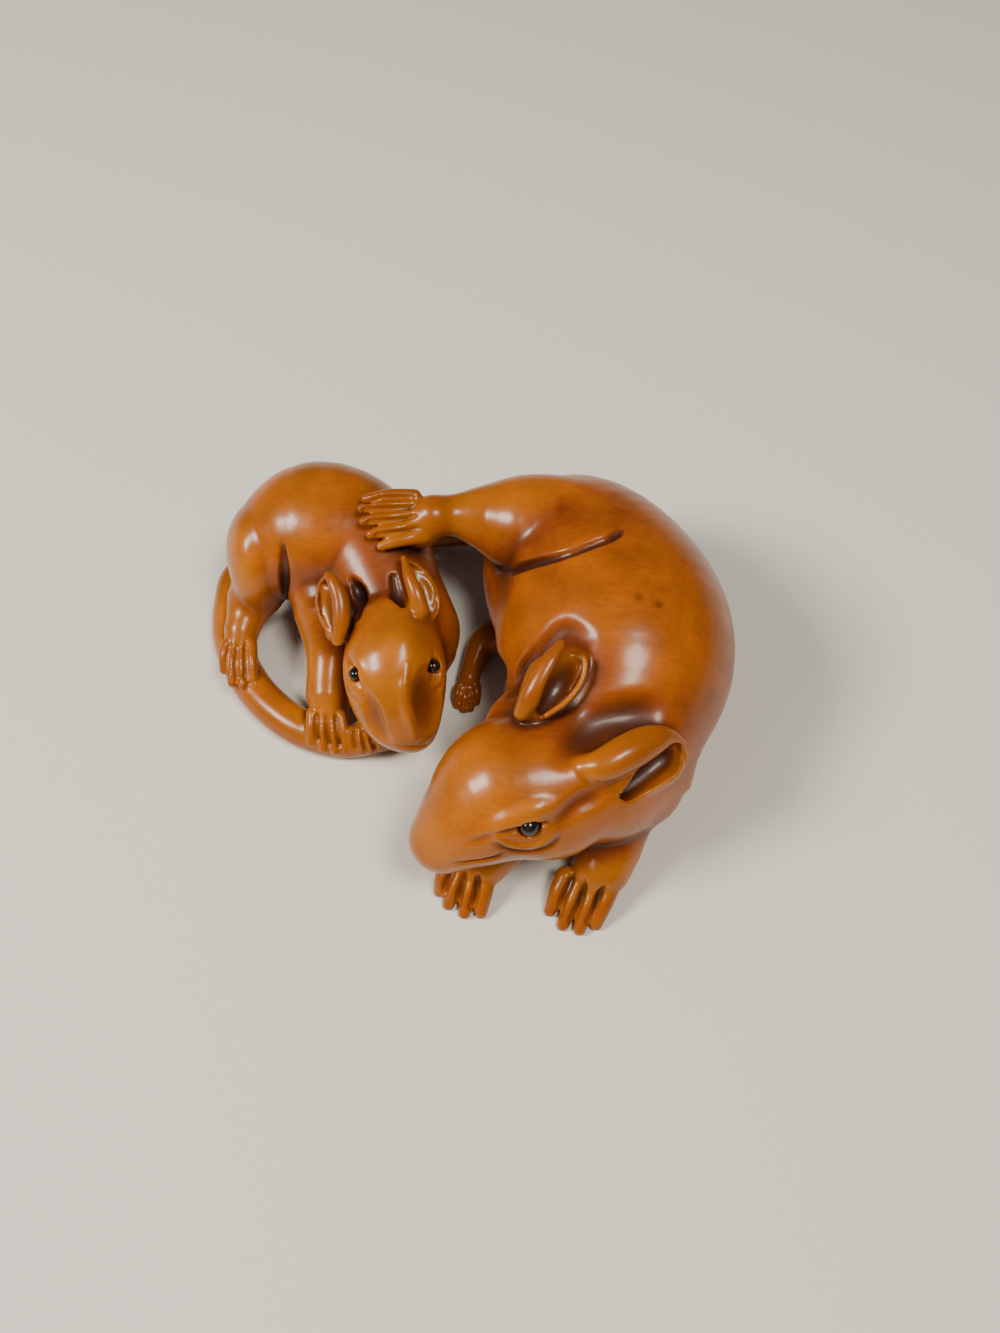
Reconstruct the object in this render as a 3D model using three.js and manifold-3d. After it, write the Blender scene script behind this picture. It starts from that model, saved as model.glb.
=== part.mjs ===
import * as THREE from "three";
import { mergeVertices } from "three/addons/utils/BufferGeometryUtils.js";
import Module from "manifold-3d";

// A netsuke carved from one piece of boxwood: a grown rat curls round a young rat,
// lays a hind foot on its back and sweeps its tail under its feet.
// The four eyes are small dark inlays in round sockets.
// X runs to the right, Y away from the viewer and Z up, in millimetres.

const wasm = await Module();
wasm.setup();

// Driving sizes, in millimetres
const LENGTH = 55.4;
const SOLE_CUT = 0.5;
const TAIL_DIAMETER = 4.0;
const GROWN_TOE_DIAMETER = 1.9;
const YOUNG_TOE_DIAMETER = 1.45;
const GROWN_EAR_RIM = 1.0;
const YOUNG_EAR_RIM = 0.9;
const GROWN_EYE_DIAMETER = 1.9;
const YOUNG_EYE_DIAMETER = 1.3;
const EYE_CLEARANCE = 0.3;
const BROW_WIDTH = 2.6;
const BROW_RISE = 0.5;
const THIGH_CREASE_WIDTH = 1.1;
const HAUNCH_CREASE_WIDTH = 1.2;
const NECK_HOLLOW_WIDTH = 2.9;
const NAPE_HOLLOW_WIDTH = 2.0;
const RECESS_WIDTH = 1.6;
const SURFACE_STEP = 0.52;

// How finely the surfaces are laid out
const CARVING_TRIANGLES = 9200;
const EYE_SEGMENTS = 10;
const LIMB_STEPS = 5;
const SETTLE_ROUNDS = 8;
const REACH_STEPS = 3;
const NEAREST_CROSSING = 0.1;

// Everything about the pose of the figures is in shares,
// and the whole carving is this many shares long.
const LENGTH_IN_SHARES = 102.53;
const share = LENGTH / LENGTH_IN_SHARES;

// The corners of the block of wood
const BLOCK_LOW = [-54, -49];
const BLOCK_HIGH = [54, 49, 48];

// Stations are x, y, z and radius. The carved surface runs smoothly through them.
// A foot has an ankle, the radius of its palm, the two ends of its line of knuckles and its tips.
// An ear has a fleshy body, a thick back roll, a thin rim and the hollow between these two.
const GROWN = {
  trunk: [
    [18.0, 28.2, 20.6, 11.2],
    [23.4, 22.0, 21.3, 18.2],
    [28.6, 12.8, 21.6, 21.0],
    [30.6, 3.5, 21.8, 21.9],
    [29.9, -5.6, 21.5, 18.9],
    [28.3, -15.9, 21.2, 14.9],
    [27.4, -21.7, 20.4, 11.7],
  ],
  flank: { centre: [-6.8, 17, 33], radii: [17.4, 17.6, 16.7] },
  armpit: [[8.0, 9.0, 4.0, 2.4], [8.0, 3.4, 14.0, 2.6], [8.2, -3.0, 24.0, 2.0]],
  head: [
    [24.2, -22.3, 24.1, 12.2],
    [18.2, -24.5, 24.4, 12.6],
    [10.9, -26.2, 24.4, 12.2],
    [5.5, -29.8, 22.5, 9.4],
    [-0.1, -33.4, 19.2, 6.1],
  ],
  cheek: { centre: [17.7, -33.0, 22.6], radii: [7.4, 4.8, 5.6] },
  neck: [[26.0, -12.0, 22.0, 10.0], [14.9, -13.9, 21.0, 8.6]],
  rightThigh: [
    [30.0, 24.6, 28.9, 4.2],
    [22.8, 24.8, 30.6, 8.8],
    [15.2, 25.3, 30.6, 9.7],
    [7.6, 26.1, 31.6, 6.6],
    [1.2, 25.3, 33.6, 4.1],
    [-3.9, 24.2, 34.6, 3.6],
  ],
  rightHindFoot: {
    ankle: [-3.6, 24.0, 35.0, 3.7],
    palm: 4.6,
    knuckles: [[-7.2, 26.6, 37.2], [-5.2, 20.4, 33.6]],
    tips: [
      [-16.2, 26.2, 36.9],
      [-16.7, 23.8, 37.1],
      [-16.3, 21.6, 36.2],
      [-15.0, 19.6, 34.9],
      [-13.1, 18.2, 33.2],
    ],
  },
  leftHindLeg: [
    [18.0, 22.0, 11.0, 9.0],
    [11.0, 17.4, 7.0, 4.6],
    [6.0, 15.4, 5.2, 3.0],
    [4.0, 11.4, 4.2, 2.3],
    [3.0, 7.6, 3.6, 1.9],
  ],
  leftHindFoot: {
    ankle: [3.0, 7.8, 3.6, 1.8],
    palm: 1.7,
    knuckles: [[1.4, 5.6, 3.0], [4.0, 5.9, 3.0]],
    tips: [[0.7, 2.6, 1.6], [2.0, 1.7, 1.6], [3.3, 1.9, 1.6], [4.4, 3.3, 1.6]],
  },
  leftForeleg: [
    [34.1, -18.7, 16.7, 10.0],
    [32.2, -24.4, 11.7, 5.9],
    [29.6, -30.0, 7.8, 5.7],
    [28.2, -33.0, 6.0, 5.2],
  ],
  leftForeFoot: {
    ankle: [28.0, -33.2, 6.0, 5.0],
    palm: 4.0,
    knuckles: [[21.6, -34.8, 5.6], [29.8, -36.0, 6.0]],
    tips: [[18.9, -40.0, 2.0], [21.2, -42.6, 1.8], [24.2, -43.4, 1.8], [27.2, -42.4, 1.8]],
  },
  rightForeleg: [
    [17.5, -24.8, 16.7, 7.5],
    [12.0, -27.8, 9.3, 5.1],
    [7.0, -32.4, 5.4, 4.2],
  ],
  rightForeFoot: {
    ankle: [5.4, -32.0, 5.0, 4.0],
    palm: 3.6,
    knuckles: [[0.2, -33.6, 5.0], [7.2, -34.4, 5.4]],
    tips: [[-1.3, -36.6, 2.0], [0.4, -39.0, 1.8], [3.3, -40.6, 1.8], [6.3, -40.5, 1.8]],
  },
  rightEar: {
    body: [
      [14.6, -17.0, 35.0, 3.0],
      [18.1, -11.4, 37.0, 4.4],
      [20.6, -9.3, 38.5, 3.6],
    ],
    roll: [
      [12.9, -18.5, 37.5, 1.4],
      [14.7, -16.1, 40.0, 2.1],
      [17.1, -12.3, 42.5, 1.8],
      [19.3, -9.0, 44.0, 0.9],
    ],
    rim: [
      [19.3, -9.0, 44.0],
      [21.9, -8.7, 43.0],
      [23.3, -10.9, 41.5],
      [22.7, -13.9, 40.0],
      [20.2, -16.9, 38.5],
      [16.9, -18.8, 37.0],
    ],
    hollow: [
      [16.6, -18.0, 38.8, 1.5],
      [18.8, -15.2, 41.0, 2.4],
      [20.9, -11.9, 43.0, 1.9],
    ],
  },
  leftEar: {
    body: [
      [24.4, -27.8, 31.0, 2.8],
      [31.3, -25.3, 29.5, 4.4],
      [36.3, -23.0, 29.0, 4.4],
    ],
    roll: [
      [22.1, -26.9, 34.6, 1.6],
      [25.8, -27.1, 35.4, 2.7],
      [30.0, -25.0, 35.9, 3.1],
      [33.9, -22.6, 35.5, 2.8],
      [37.4, -21.1, 34.5, 1.6],
      [40.0, -21.3, 32.5, 0.8],
    ],
    rim: [
      [40.0, -21.3, 32.5],
      [40.8, -22.8, 29.5],
      [38.8, -25.3, 28.0],
      [35.7, -27.0, 27.5],
      [32.3, -28.7, 27.5],
      [28.4, -30.2, 28.5],
      [25.5, -30.6, 31.0],
    ],
    hollow: [
      [28.6, -29.4, 30.2, 1.2],
      [33.4, -26.9, 31.0, 2.6],
      [37.1, -24.1, 32.0, 2.9],
      [39.1, -22.7, 32.5, 1.4],
    ],
  },
  thighCrease: [
    [8.5, 19.6, 24.5],
    [12.5, 13.7, 32.1],
    [19.4, 11.2, 40.2],
    [26.4, 12.8, 42.1],
    [29.3, 14.6, 42.0],
    [30.4, 16.1, 42.1],
  ],
  neckHollow: [
    [20.2, -25.2, 35.1],
    [23.3, -22.3, 34.9],
    [27.0, -19.6, 35.3],
    [31.4, -18.2, 36.4],
    [35.3, -17.5, 36.7],
  ],
  napeHollow: [
    [10.5, -9.6, 27.0],
    [12.5, -8.4, 31.9],
    [15.5, -6.5, 36.5],
    [18.6, -4.6, 39.4],
  ],
  brow: [
    [21.0, -33.0, 33.4],
    [16.3, -34.6, 33.8],
    [13.1, -35.3, 32.9],
    [9.8, -36.0, 31.2],
    [5.9, -36.9, 28.5],
  ],
  leftEye: [14.4, -36.2, 30.4],
  rightEye: [6.0, -15.0, 24.6],
};

// The tail leaves the grown rat's rump, passes behind and under the young one,
// and ends under its chin. These stations have no radius of their own.
const TAIL_ROOT = [
  [21.3, 30.6, 12.0, 7.0],
  [7.4, 41.0, 8.9, 4.5],
  [-6.5, 42.2, 6.7, 3.9],
];
const TAIL = [
  [-6.5, 42.2, 6.7],
  [-21.3, 42.2, 5.2],
  [-35.2, 40.0, 4.5],
  [-45.0, 31.6, 4.2],
  [-46.4, 24.6, 4.0],
  [-45.6, 16.4, 4.0],
  [-42.5, 8.9, 4.0],
  [-37.4, 1.8, 4.0],
  [-29.8, -4.2, 4.0],
  [-21.1, -7.0, 4.0],
  [-13.0, -6.0, 3.8],
];

const YOUNG = {
  trunk: [
    [-34.2, 28.0, 19.6, 10.7],
    [-26.6, 29.9, 21.6, 13.7],
    [-17.8, 26.4, 21.6, 12.2],
    [-12.7, 17.1, 20.0, 10.6],
    [-8.9, 9.4, 17.8, 10.3],
  ],
  haunch: { centre: [-38.4, 25.8, 17.4], radii: [6.3, 9.8, 11.9] },
  rightHindLeg: [
    [-40.9, 20.0, 11.4, 4.8],
    [-42.3, 14.4, 9.8, 3.2],
  ],
  rightHindFoot: {
    ankle: [-42.2, 14.2, 10.0, 3.2],
    palm: 3.0,
    knuckles: [[-44.6, 10.6, 9.9], [-40.3, 10.8, 9.7]],
    tips: [[-45.2, 6.2, 7.8], [-43.3, 3.4, 7.6], [-41.2, 2.9, 7.6], [-39.3, 4.3, 7.6]],
  },
  rightForeleg: [
    [-24.4, 17.2, 16.9, 7.5],
    [-23.9, 8.6, 12.0, 4.9],
    [-24.2, 0.8, 9.0, 4.2],
  ],
  rightForeFoot: {
    ankle: [-23.8, 0.4, 9.2, 3.6],
    palm: 3.2,
    knuckles: [[-26.6, -3.8, 8.6], [-21.2, -4.4, 8.6]],
    tips: [[-26.8, -8.4, 6.0], [-24.4, -9.6, 5.6], [-22.2, -10.0, 5.4], [-20.4, -9.6, 5.4]],
  },
  leftForeleg: [
    [-4.6, 9.5, 11.1, 5.1],
    [-9.3, -0.3, 6.8, 3.5],
    [-14.6, -4.6, 6.6, 2.9],
  ],
  leftForeFoot: {
    ankle: [-14.6, -4.6, 6.8, 2.9],
    palm: 2.8,
    knuckles: [[-19.0, -7.0, 7.2], [-14.8, -7.4, 7.2]],
    tips: [[-18.8, -9.2, 4.9], [-17.2, -9.6, 4.8], [-15.4, -9.4, 4.8], [-13.8, -8.6, 4.8]],
  },
  head: [
    [-10.6, 4.4, 23.0, 8.5],
    [-10.2, -1.6, 21.5, 9.5],
    [-9.3, -6.2, 17.6, 8.1],
    [-7.6, -8.8, 14.8, 5.5],
    [-6.0, -10.2, 13.4, 3.0],
  ],
  bridge: [
    [-8.4, -0.6, 29.4, 2.0],
    [-7.8, -5.4, 26.0, 1.6],
    [-7.2, -9.0, 21.6, 1.3],
    [-6.2, -11.6, 16.6, 1.1],
  ],
  rightEar: {
    body: [
      [-20.9, 4.9, 25.0, 2.4],
      [-21.6, 8.6, 27.0, 2.6],
      [-22.4, 11.0, 29.0, 2.0],
    ],
    roll: [
      [-20.5, 2.0, 26.5, 1.2],
      [-19.9, 4.7, 29.0, 1.7],
      [-20.1, 7.8, 31.0, 1.7],
      [-21.2, 10.2, 32.5, 1.3],
      [-22.4, 11.8, 33.0, 0.7],
    ],
    rim: [
      [-22.4, 11.8, 33.0],
      [-24.0, 11.2, 31.0],
      [-24.6, 8.4, 29.0],
      [-23.4, 5.1, 27.0],
      [-20.9, 2.7, 26.0],
    ],
    hollow: [
      [-21.9, 3.5, 27.5, 0.9],
      [-22.8, 6.6, 30.0, 1.5],
      [-22.9, 9.7, 32.0, 1.0],
    ],
  },
  leftEar: {
    body: [
      [-5.1, 8.5, 27.0, 2.0],
      [-5.1, 11.9, 28.5, 2.2],
      [-7.0, 14.5, 30.5, 1.2],
    ],
    roll: [
      [-8.8, 15.4, 33.5, 0.5],
      [-7.7, 11.8, 33.3, 1.1],
      [-6.3, 8.9, 32.0, 1.6],
      [-5.4, 6.5, 30.0, 1.8],
    ],
    rim: [
      [-8.8, 15.4, 33.5],
      [-4.9, 14.2, 31.5],
      [-2.5, 11.2, 29.5],
      [-2.4, 7.7, 28.0],
      [-4.2, 5.9, 27.6],
    ],
    hollow: [
      [-3.8, 7.3, 29.0, 1.1],
      [-4.2, 10.3, 31.3, 1.5],
      [-6.5, 13.3, 33.0, 0.9],
    ],
  },
  haunchCrease: [
    [-31.8, 20.8, 29.7],
    [-31.8, 18.5, 24.9],
    [-32.8, 17.8, 16.2],
  ],
  rightEarHollow: [
    [-18.6, 13.5, 28.6],
    [-17.1, 11.1, 27.6],
    [-16.9, 5.7, 28.6],
  ],
  leftEarHollow: [
    [-10.6, 13.4, 31.0],
    [-9.9, 9.9, 30.0],
    [-8.6, 7.0, 31.0],
  ],
  rightEye: [-17.3, -5.2, 26.6],
  leftEye: [-2.6, -3.9, 26.2],
};

// How softly one form runs into the next, in shares
const FLANK_BLEND = 5.6;
const SOFT_BLEND = 3.4;
const LIMB_BLEND = 3.0;
const FIRM_BLEND = 1.7;
const HOLLOW_BLEND = 1.5;
const EAR_BLEND = 1.4;
const BROW_BLEND = 1.2;
const FINE_BLEND = 0.6;

// A toe swells at its root, rises at its knuckle and narrows to its tip.
const ROOT_SWELL = 1.1;
const KNUCKLE_RISE = 0.5;
const TIP_SHARE = 0.66;
const PALM_DROP = 0.5;
// The last two stations of the tail narrow by these shares.
const TAIL_TAPER = [0.94, 0.75];
// An eye's centre lies under the surface by this share of its diameter.
const EYE_SINK = 0.25;

// How the fine surface is thinned out: the least change of direction a face keeps as a cosine,
// the share of an even edge length in the cost, and the flattest set of planes that has a best point
const LEAST_TURN = 0.4;
const EVENNESS = 1e-4;
const FLATTEST = 1e-4;

const scaled = (values) => values.map((value) => value * share);
const vector = (values) => new THREE.Vector3(...scaled(values));

// The smaller of two distances, with the seam rounded over a width of blend
function smoothLeast(a, b, blend) {
  if (blend <= 0) return Math.min(a, b);
  const overlap = Math.max(blend - Math.abs(a - b), 0) / blend;
  return Math.min(a, b) - (overlap ** 3 * blend) / 6;
}

// A Catmull-Rom curve through rows of x, y, z and radius, with some steps between rows
function smoothRows(rows, steps) {
  const first = rows[0].map((v, i) => 2 * v - rows[1][i]);
  const last = rows.at(-1).map((v, i) => 2 * v - rows.at(-2)[i]);
  const all = [first, ...rows, last];
  const curve = [];
  for (let i = 1; i < all.length - 2; i += 1) {
    for (let j = 0; j < steps; j += 1) {
      const t = j / steps;
      curve.push(
        all[i].map((b, n) => {
          const a = all[i - 1][n];
          const c = all[i + 1][n];
          const d = all[i + 2][n];
          return b + 0.5 * t * (c - a + t * (2 * a - 5 * b + 4 * c - d + t * (3 * (b - c) + d - a)));
        }),
      );
    }
  }
  curve.push(rows.at(-1));
  return curve;
}

// A round limb that runs through stations in millimetres
function limb(stations) {
  const rows = stations.length > 2 ? smoothRows(stations, LIMB_STEPS) : stations;
  const axisBounds = (pick, sign) => [0, 1, 2].map((n) => pick(...rows.map((r) => r[n] + sign * r[3])));
  const links = rows.slice(1).map((end, i) => {
    const start = rows[i];
    const along = [0, 1, 2].map((n) => end[n] - start[n]);
    const square = along.reduce((sum, v) => sum + v * v, 0);
    return { start, along, square, swell: end[3] - start[3] };
  });
  const distance = (x, y, z) => {
    let least = Infinity;
    for (const { start, along, square, swell } of links) {
      const dx = x - start[0];
      const dy = y - start[1];
      const dz = z - start[2];
      const t = Math.min(1, Math.max(0, (dx * along[0] + dy * along[1] + dz * along[2]) / square));
      const gap = Math.hypot(dx - t * along[0], dy - t * along[1], dz - t * along[2]);
      least = Math.min(least, gap - start[3] - t * swell);
    }
    return least;
  };
  return { low: axisBounds(Math.min, -1), high: axisBounds(Math.max, 1), distance };
}

// An egg with its own axes, given as three unit vectors
function egg(centre, radii, axes = [[1, 0, 0], [0, 1, 0], [0, 0, 1]]) {
  const reach = [0, 1, 2].map((n) => Math.hypot(...axes.map((axis, i) => axis[n] * radii[i])));
  const distance = (x, y, z) => {
    const offset = [x - centre[0], y - centre[1], z - centre[2]];
    const local = axes.map((axis) => axis[0] * offset[0] + axis[1] * offset[1] + axis[2] * offset[2]);
    const size = Math.hypot(...local.map((v, i) => v / radii[i]));
    const steepness = Math.hypot(...local.map((v, i) => v / radii[i] ** 2));
    return steepness > 0 ? (size * (size - 1)) / steepness : -Math.min(...radii);
  };
  return {
    low: centre.map((v, n) => v - reach[n]),
    high: centre.map((v, n) => v + reach[n]),
    distance,
  };
}

// The block of wood: the distance to the carved surface at each point of a regular grid
class Block {
  constructor(low, high, step) {
    this.low = low;
    this.step = step;
    this.count = low.map((v, n) => Math.ceil((high[n] - v) / step) + 1);
    this.values = new Float32Array(this.count[0] * this.count[1] * this.count[2]).fill(REACH_STEPS * step);
  }

  index(i, j, k) {
    return (k * this.count[1] + j) * this.count[0] + i;
  }

  // Reworks the grid points near a shape, where a blend can reach them
  rework(shape, blend, change) {
    const reach = blend + REACH_STEPS * this.step;
    const first = shape.low.map((v, n) => Math.max(0, Math.floor((v - reach - this.low[n]) / this.step)));
    const last = shape.high.map((v, n) =>
      Math.min(this.count[n] - 1, Math.ceil((v + reach - this.low[n]) / this.step)),
    );
    for (let k = first[2]; k <= last[2]; k += 1) {
      const z = this.low[2] + k * this.step;
      for (let j = first[1]; j <= last[1]; j += 1) {
        const y = this.low[1] + j * this.step;
        for (let i = first[0]; i <= last[0]; i += 1) {
          const at = this.index(i, j, k);
          this.values[at] = change(this.values[at], shape.distance(this.low[0] + i * this.step, y, z));
        }
      }
    }
  }

  join(shape, blend = 0) {
    this.rework(shape, blend * share, (old, added) => smoothLeast(old, added, blend * share));
  }

  cut(shape, blend = 0) {
    this.rework(shape, blend * share, (old, taken) => -smoothLeast(-old, taken, blend * share));
  }

  // Turns back into wood each pocket that a tool can't reach from outside
  fillPockets() {
    const [wide, deep, tall] = this.count;
    const open = new Uint8Array(this.values.length);
    const visit = (i, j, k, found) => {
      if (i < 0 || j < 0 || k < 0 || i >= wide || j >= deep || k >= tall) return;
      const at = this.index(i, j, k);
      if (open[at] || this.values[at] < 0) return;
      open[at] = 1;
      found.push(at);
    };
    const air = [];
    visit(0, 0, 0, air);
    while (air.length > 0) {
      const at = air.pop();
      const i = at % wide;
      const j = Math.floor(at / wide) % deep;
      const k = Math.floor(at / (wide * deep));
      for (const side of [-1, 1]) {
        visit(i + side, j, k, air);
        visit(i, j + side, k, air);
        visit(i, j, k + side, air);
      }
    }
    this.values.forEach((value, at) => {
      if (value >= 0 && !open[at]) this.values[at] = -this.step;
    });
  }

  // The distance at any point, worked out from the eight grid points round it
  at(point) {
    const place = point.toArray().map((v, n) => (v - this.low[n]) / this.step);
    const cell = place.map((v, n) => Math.min(this.count[n] - 2, Math.max(0, Math.floor(v))));
    const [u, v, w] = place.map((p, n) => p - cell[n]);
    let sum = 0;
    for (const [i, a] of [[0, 1 - u], [1, u]]) {
      for (const [j, b] of [[0, 1 - v], [1, v]]) {
        for (const [k, c] of [[0, 1 - w], [1, w]]) {
          sum += a * b * c * this.values[this.index(cell[0] + i, cell[1] + j, cell[2] + k)];
        }
      }
    }
    return sum;
  }

  // The direction straight out of the surface near a point
  outward(point) {
    const slope = ["x", "y", "z"].map((axis) => {
      const ahead = point.clone();
      const behind = point.clone();
      ahead[axis] += this.step;
      behind[axis] -= this.step;
      return this.at(ahead) - this.at(behind);
    });
    return new THREE.Vector3(...slope).normalize();
  }

  // Moves a point in or out until it lies on the carved surface
  settle(point) {
    const settled = point.clone();
    for (let round = 0; round < SETTLE_ROUNDS; round += 1) {
      settled.addScaledVector(this.outward(settled), -this.at(settled));
    }
    return settled;
  }
}

// A palm from the ankle to the knuckles, and a toe from each place on the knuckle line to its tip
function carveFoot(block, foot, toeDiameter) {
  const tips = foot.tips.map(vector);
  const [first, last] = foot.knuckles.map(vector);
  const palmRadius = foot.palm * share;
  const toeRadius = toeDiameter / 2;
  const palm = first.clone().lerp(last, 0.5);
  palm.z -= palmRadius * PALM_DROP;
  block.join(limb([scaled(foot.ankle), [...palm, palmRadius]]), FIRM_BLEND);
  tips.forEach((tip, i) => {
    const root = first.clone().lerp(last, i / (tips.length - 1));
    const knuckle = root.clone().lerp(tip, 0.5);
    knuckle.z += KNUCKLE_RISE * share;
    const toe = [
      [...root, toeRadius * ROOT_SWELL],
      [...knuckle, toeRadius],
      [...tip, toeRadius * TIP_SHARE],
    ];
    block.join(limb(toe), FINE_BLEND);
  });
}

// A thick back roll and a thin rim on a fleshy body, with the hollow between them cut out
function carveEar(block, ear, rimDiameter) {
  const rim = ear.rim.map((row) => [...scaled(row), rimDiameter / 2]);
  block.join(limb(ear.body.map(scaled)), EAR_BLEND);
  block.join(limb(ear.roll.map(scaled)), EAR_BLEND);
  block.join(limb(rim), FINE_BLEND);
  block.cut(limb(ear.hollow.map(scaled)), FINE_BLEND);
}

// A path laid on the carved surface and moved out of it by a rise, half as thick at its ends
function laidPath(block, path, width, rise = 0) {
  return path.map((row, i) => {
    const end = i === 0 || i === path.length - 1;
    const place = block.settle(vector(row));
    place.addScaledVector(block.outward(place), rise);
    return [...place, (width / 2) * (end ? 0.5 : 1)];
  });
}

function carveGroove(block, path, width, blend = FINE_BLEND) {
  block.cut(limb(laidPath(block, path, width)), blend);
}

function carveRidge(block, path, width, rise) {
  block.join(limb(laidPath(block, path, width, rise - width / 2)), BROW_BLEND);
}

// A socket cut where the eye meets the surface, and the inlay that sits in it
function fitEye(block, name, place, diameter) {
  const seat = block.settle(vector(place));
  const centre = seat.clone().addScaledVector(block.outward(seat), -diameter * EYE_SINK);
  block.cut(egg(centre.toArray(), Array(3).fill(diameter / 2 + EYE_CLEARANCE)));
  const inlay = new THREE.Mesh(
    new THREE.SphereGeometry(diameter / 2, EYE_SEGMENTS, EYE_SEGMENTS),
    new THREE.MeshStandardMaterial({ color: 0x17100c, roughness: 0.15, metalness: 0 }),
  );
  inlay.name = name;
  inlay.position.copy(centre);
  return inlay;
}

function carveGrownRat(block) {
  const body = (rows, blend) => block.join(limb(rows.map(scaled)), blend);
  body(GROWN.trunk, 0);
  block.cut(egg(scaled(GROWN.flank.centre), scaled(GROWN.flank.radii)), FLANK_BLEND);
  body(GROWN.head, LIMB_BLEND);
  block.join(egg(scaled(GROWN.cheek.centre), scaled(GROWN.cheek.radii)), LIMB_BLEND);
  body(GROWN.neck, LIMB_BLEND);
  body(GROWN.rightThigh, FIRM_BLEND);
  block.cut(limb(GROWN.armpit.map(scaled)), SOFT_BLEND);
  body(GROWN.leftHindLeg, LIMB_BLEND);
  body(GROWN.leftForeleg, SOFT_BLEND);
  body(GROWN.rightForeleg, SOFT_BLEND);
  carveFoot(block, GROWN.leftForeFoot, GROWN_TOE_DIAMETER);
  carveFoot(block, GROWN.rightForeFoot, GROWN_TOE_DIAMETER);
  carveFoot(block, GROWN.leftHindFoot, YOUNG_TOE_DIAMETER);
}

function carveTail(block) {
  const full = TAIL.length - TAIL_TAPER.length;
  const radius = (i) => (TAIL_DIAMETER / 2) * (i < full ? 1 : TAIL_TAPER[i - full]);
  block.join(limb(TAIL_ROOT.map(scaled)), FIRM_BLEND);
  block.join(limb(TAIL.map((row, i) => [...scaled(row), radius(i)])), FIRM_BLEND);
}

function carveYoungRat(block) {
  const body = (rows, blend) => block.join(limb(rows.map(scaled)), blend);
  body(YOUNG.trunk, FIRM_BLEND);
  block.join(egg(scaled(YOUNG.haunch.centre), scaled(YOUNG.haunch.radii)), FIRM_BLEND);
  body(YOUNG.rightHindLeg, LIMB_BLEND);
  body(YOUNG.rightForeleg, LIMB_BLEND);
  body(YOUNG.leftForeleg, LIMB_BLEND);
  carveFoot(block, YOUNG.rightHindFoot, YOUNG_TOE_DIAMETER);
  carveFoot(block, YOUNG.rightForeFoot, YOUNG_TOE_DIAMETER);
  carveFoot(block, YOUNG.leftForeFoot, YOUNG_TOE_DIAMETER);
  body(YOUNG.head, FIRM_BLEND);
  body(YOUNG.bridge, SOFT_BLEND);
}

function carveDetails(block) {
  carveFoot(block, GROWN.rightHindFoot, YOUNG_TOE_DIAMETER);
  carveGroove(block, GROWN.neckHollow, NECK_HOLLOW_WIDTH, HOLLOW_BLEND);
  carveGroove(block, GROWN.napeHollow, NAPE_HOLLOW_WIDTH, HOLLOW_BLEND);
  carveGroove(block, YOUNG.rightEarHollow, RECESS_WIDTH);
  carveGroove(block, YOUNG.leftEarHollow, RECESS_WIDTH);
  carveEar(block, GROWN.rightEar, GROWN_EAR_RIM);
  carveEar(block, GROWN.leftEar, GROWN_EAR_RIM);
  carveEar(block, YOUNG.rightEar, YOUNG_EAR_RIM);
  carveEar(block, YOUNG.leftEar, YOUNG_EAR_RIM);
  carveGroove(block, GROWN.thighCrease, THIGH_CREASE_WIDTH);
  carveGroove(block, YOUNG.haunchCrease, HAUNCH_CREASE_WIDTH);
  carveRidge(block, GROWN.brow, BROW_WIDTH, BROW_RISE);
}

// Each cube of the grid splits into six tetrahedra round its long diagonal.
// Corners are numbered by their bits: 1 is one step along X, 2 along Y, 4 along Z.
const diagonalRing = [1, 3, 2, 6, 4, 5];
const tetrahedra = diagonalRing.map((corner, n) => [0, corner, diagonalRing[(n + 1) % 6], 7]);

// The even orders of four corners, which keep a tetrahedron's handedness
const evenOrders = [0, 1, 2, 3].flatMap((first) => {
  const [a, b, c] = [0, 1, 2, 3].filter((n) => n !== first);
  const [p, q, r] = first % 2 === 1 ? [a, c, b] : [a, b, c];
  return [[first, p, q, r], [first, q, r, p], [first, r, p, q]];
});

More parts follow.
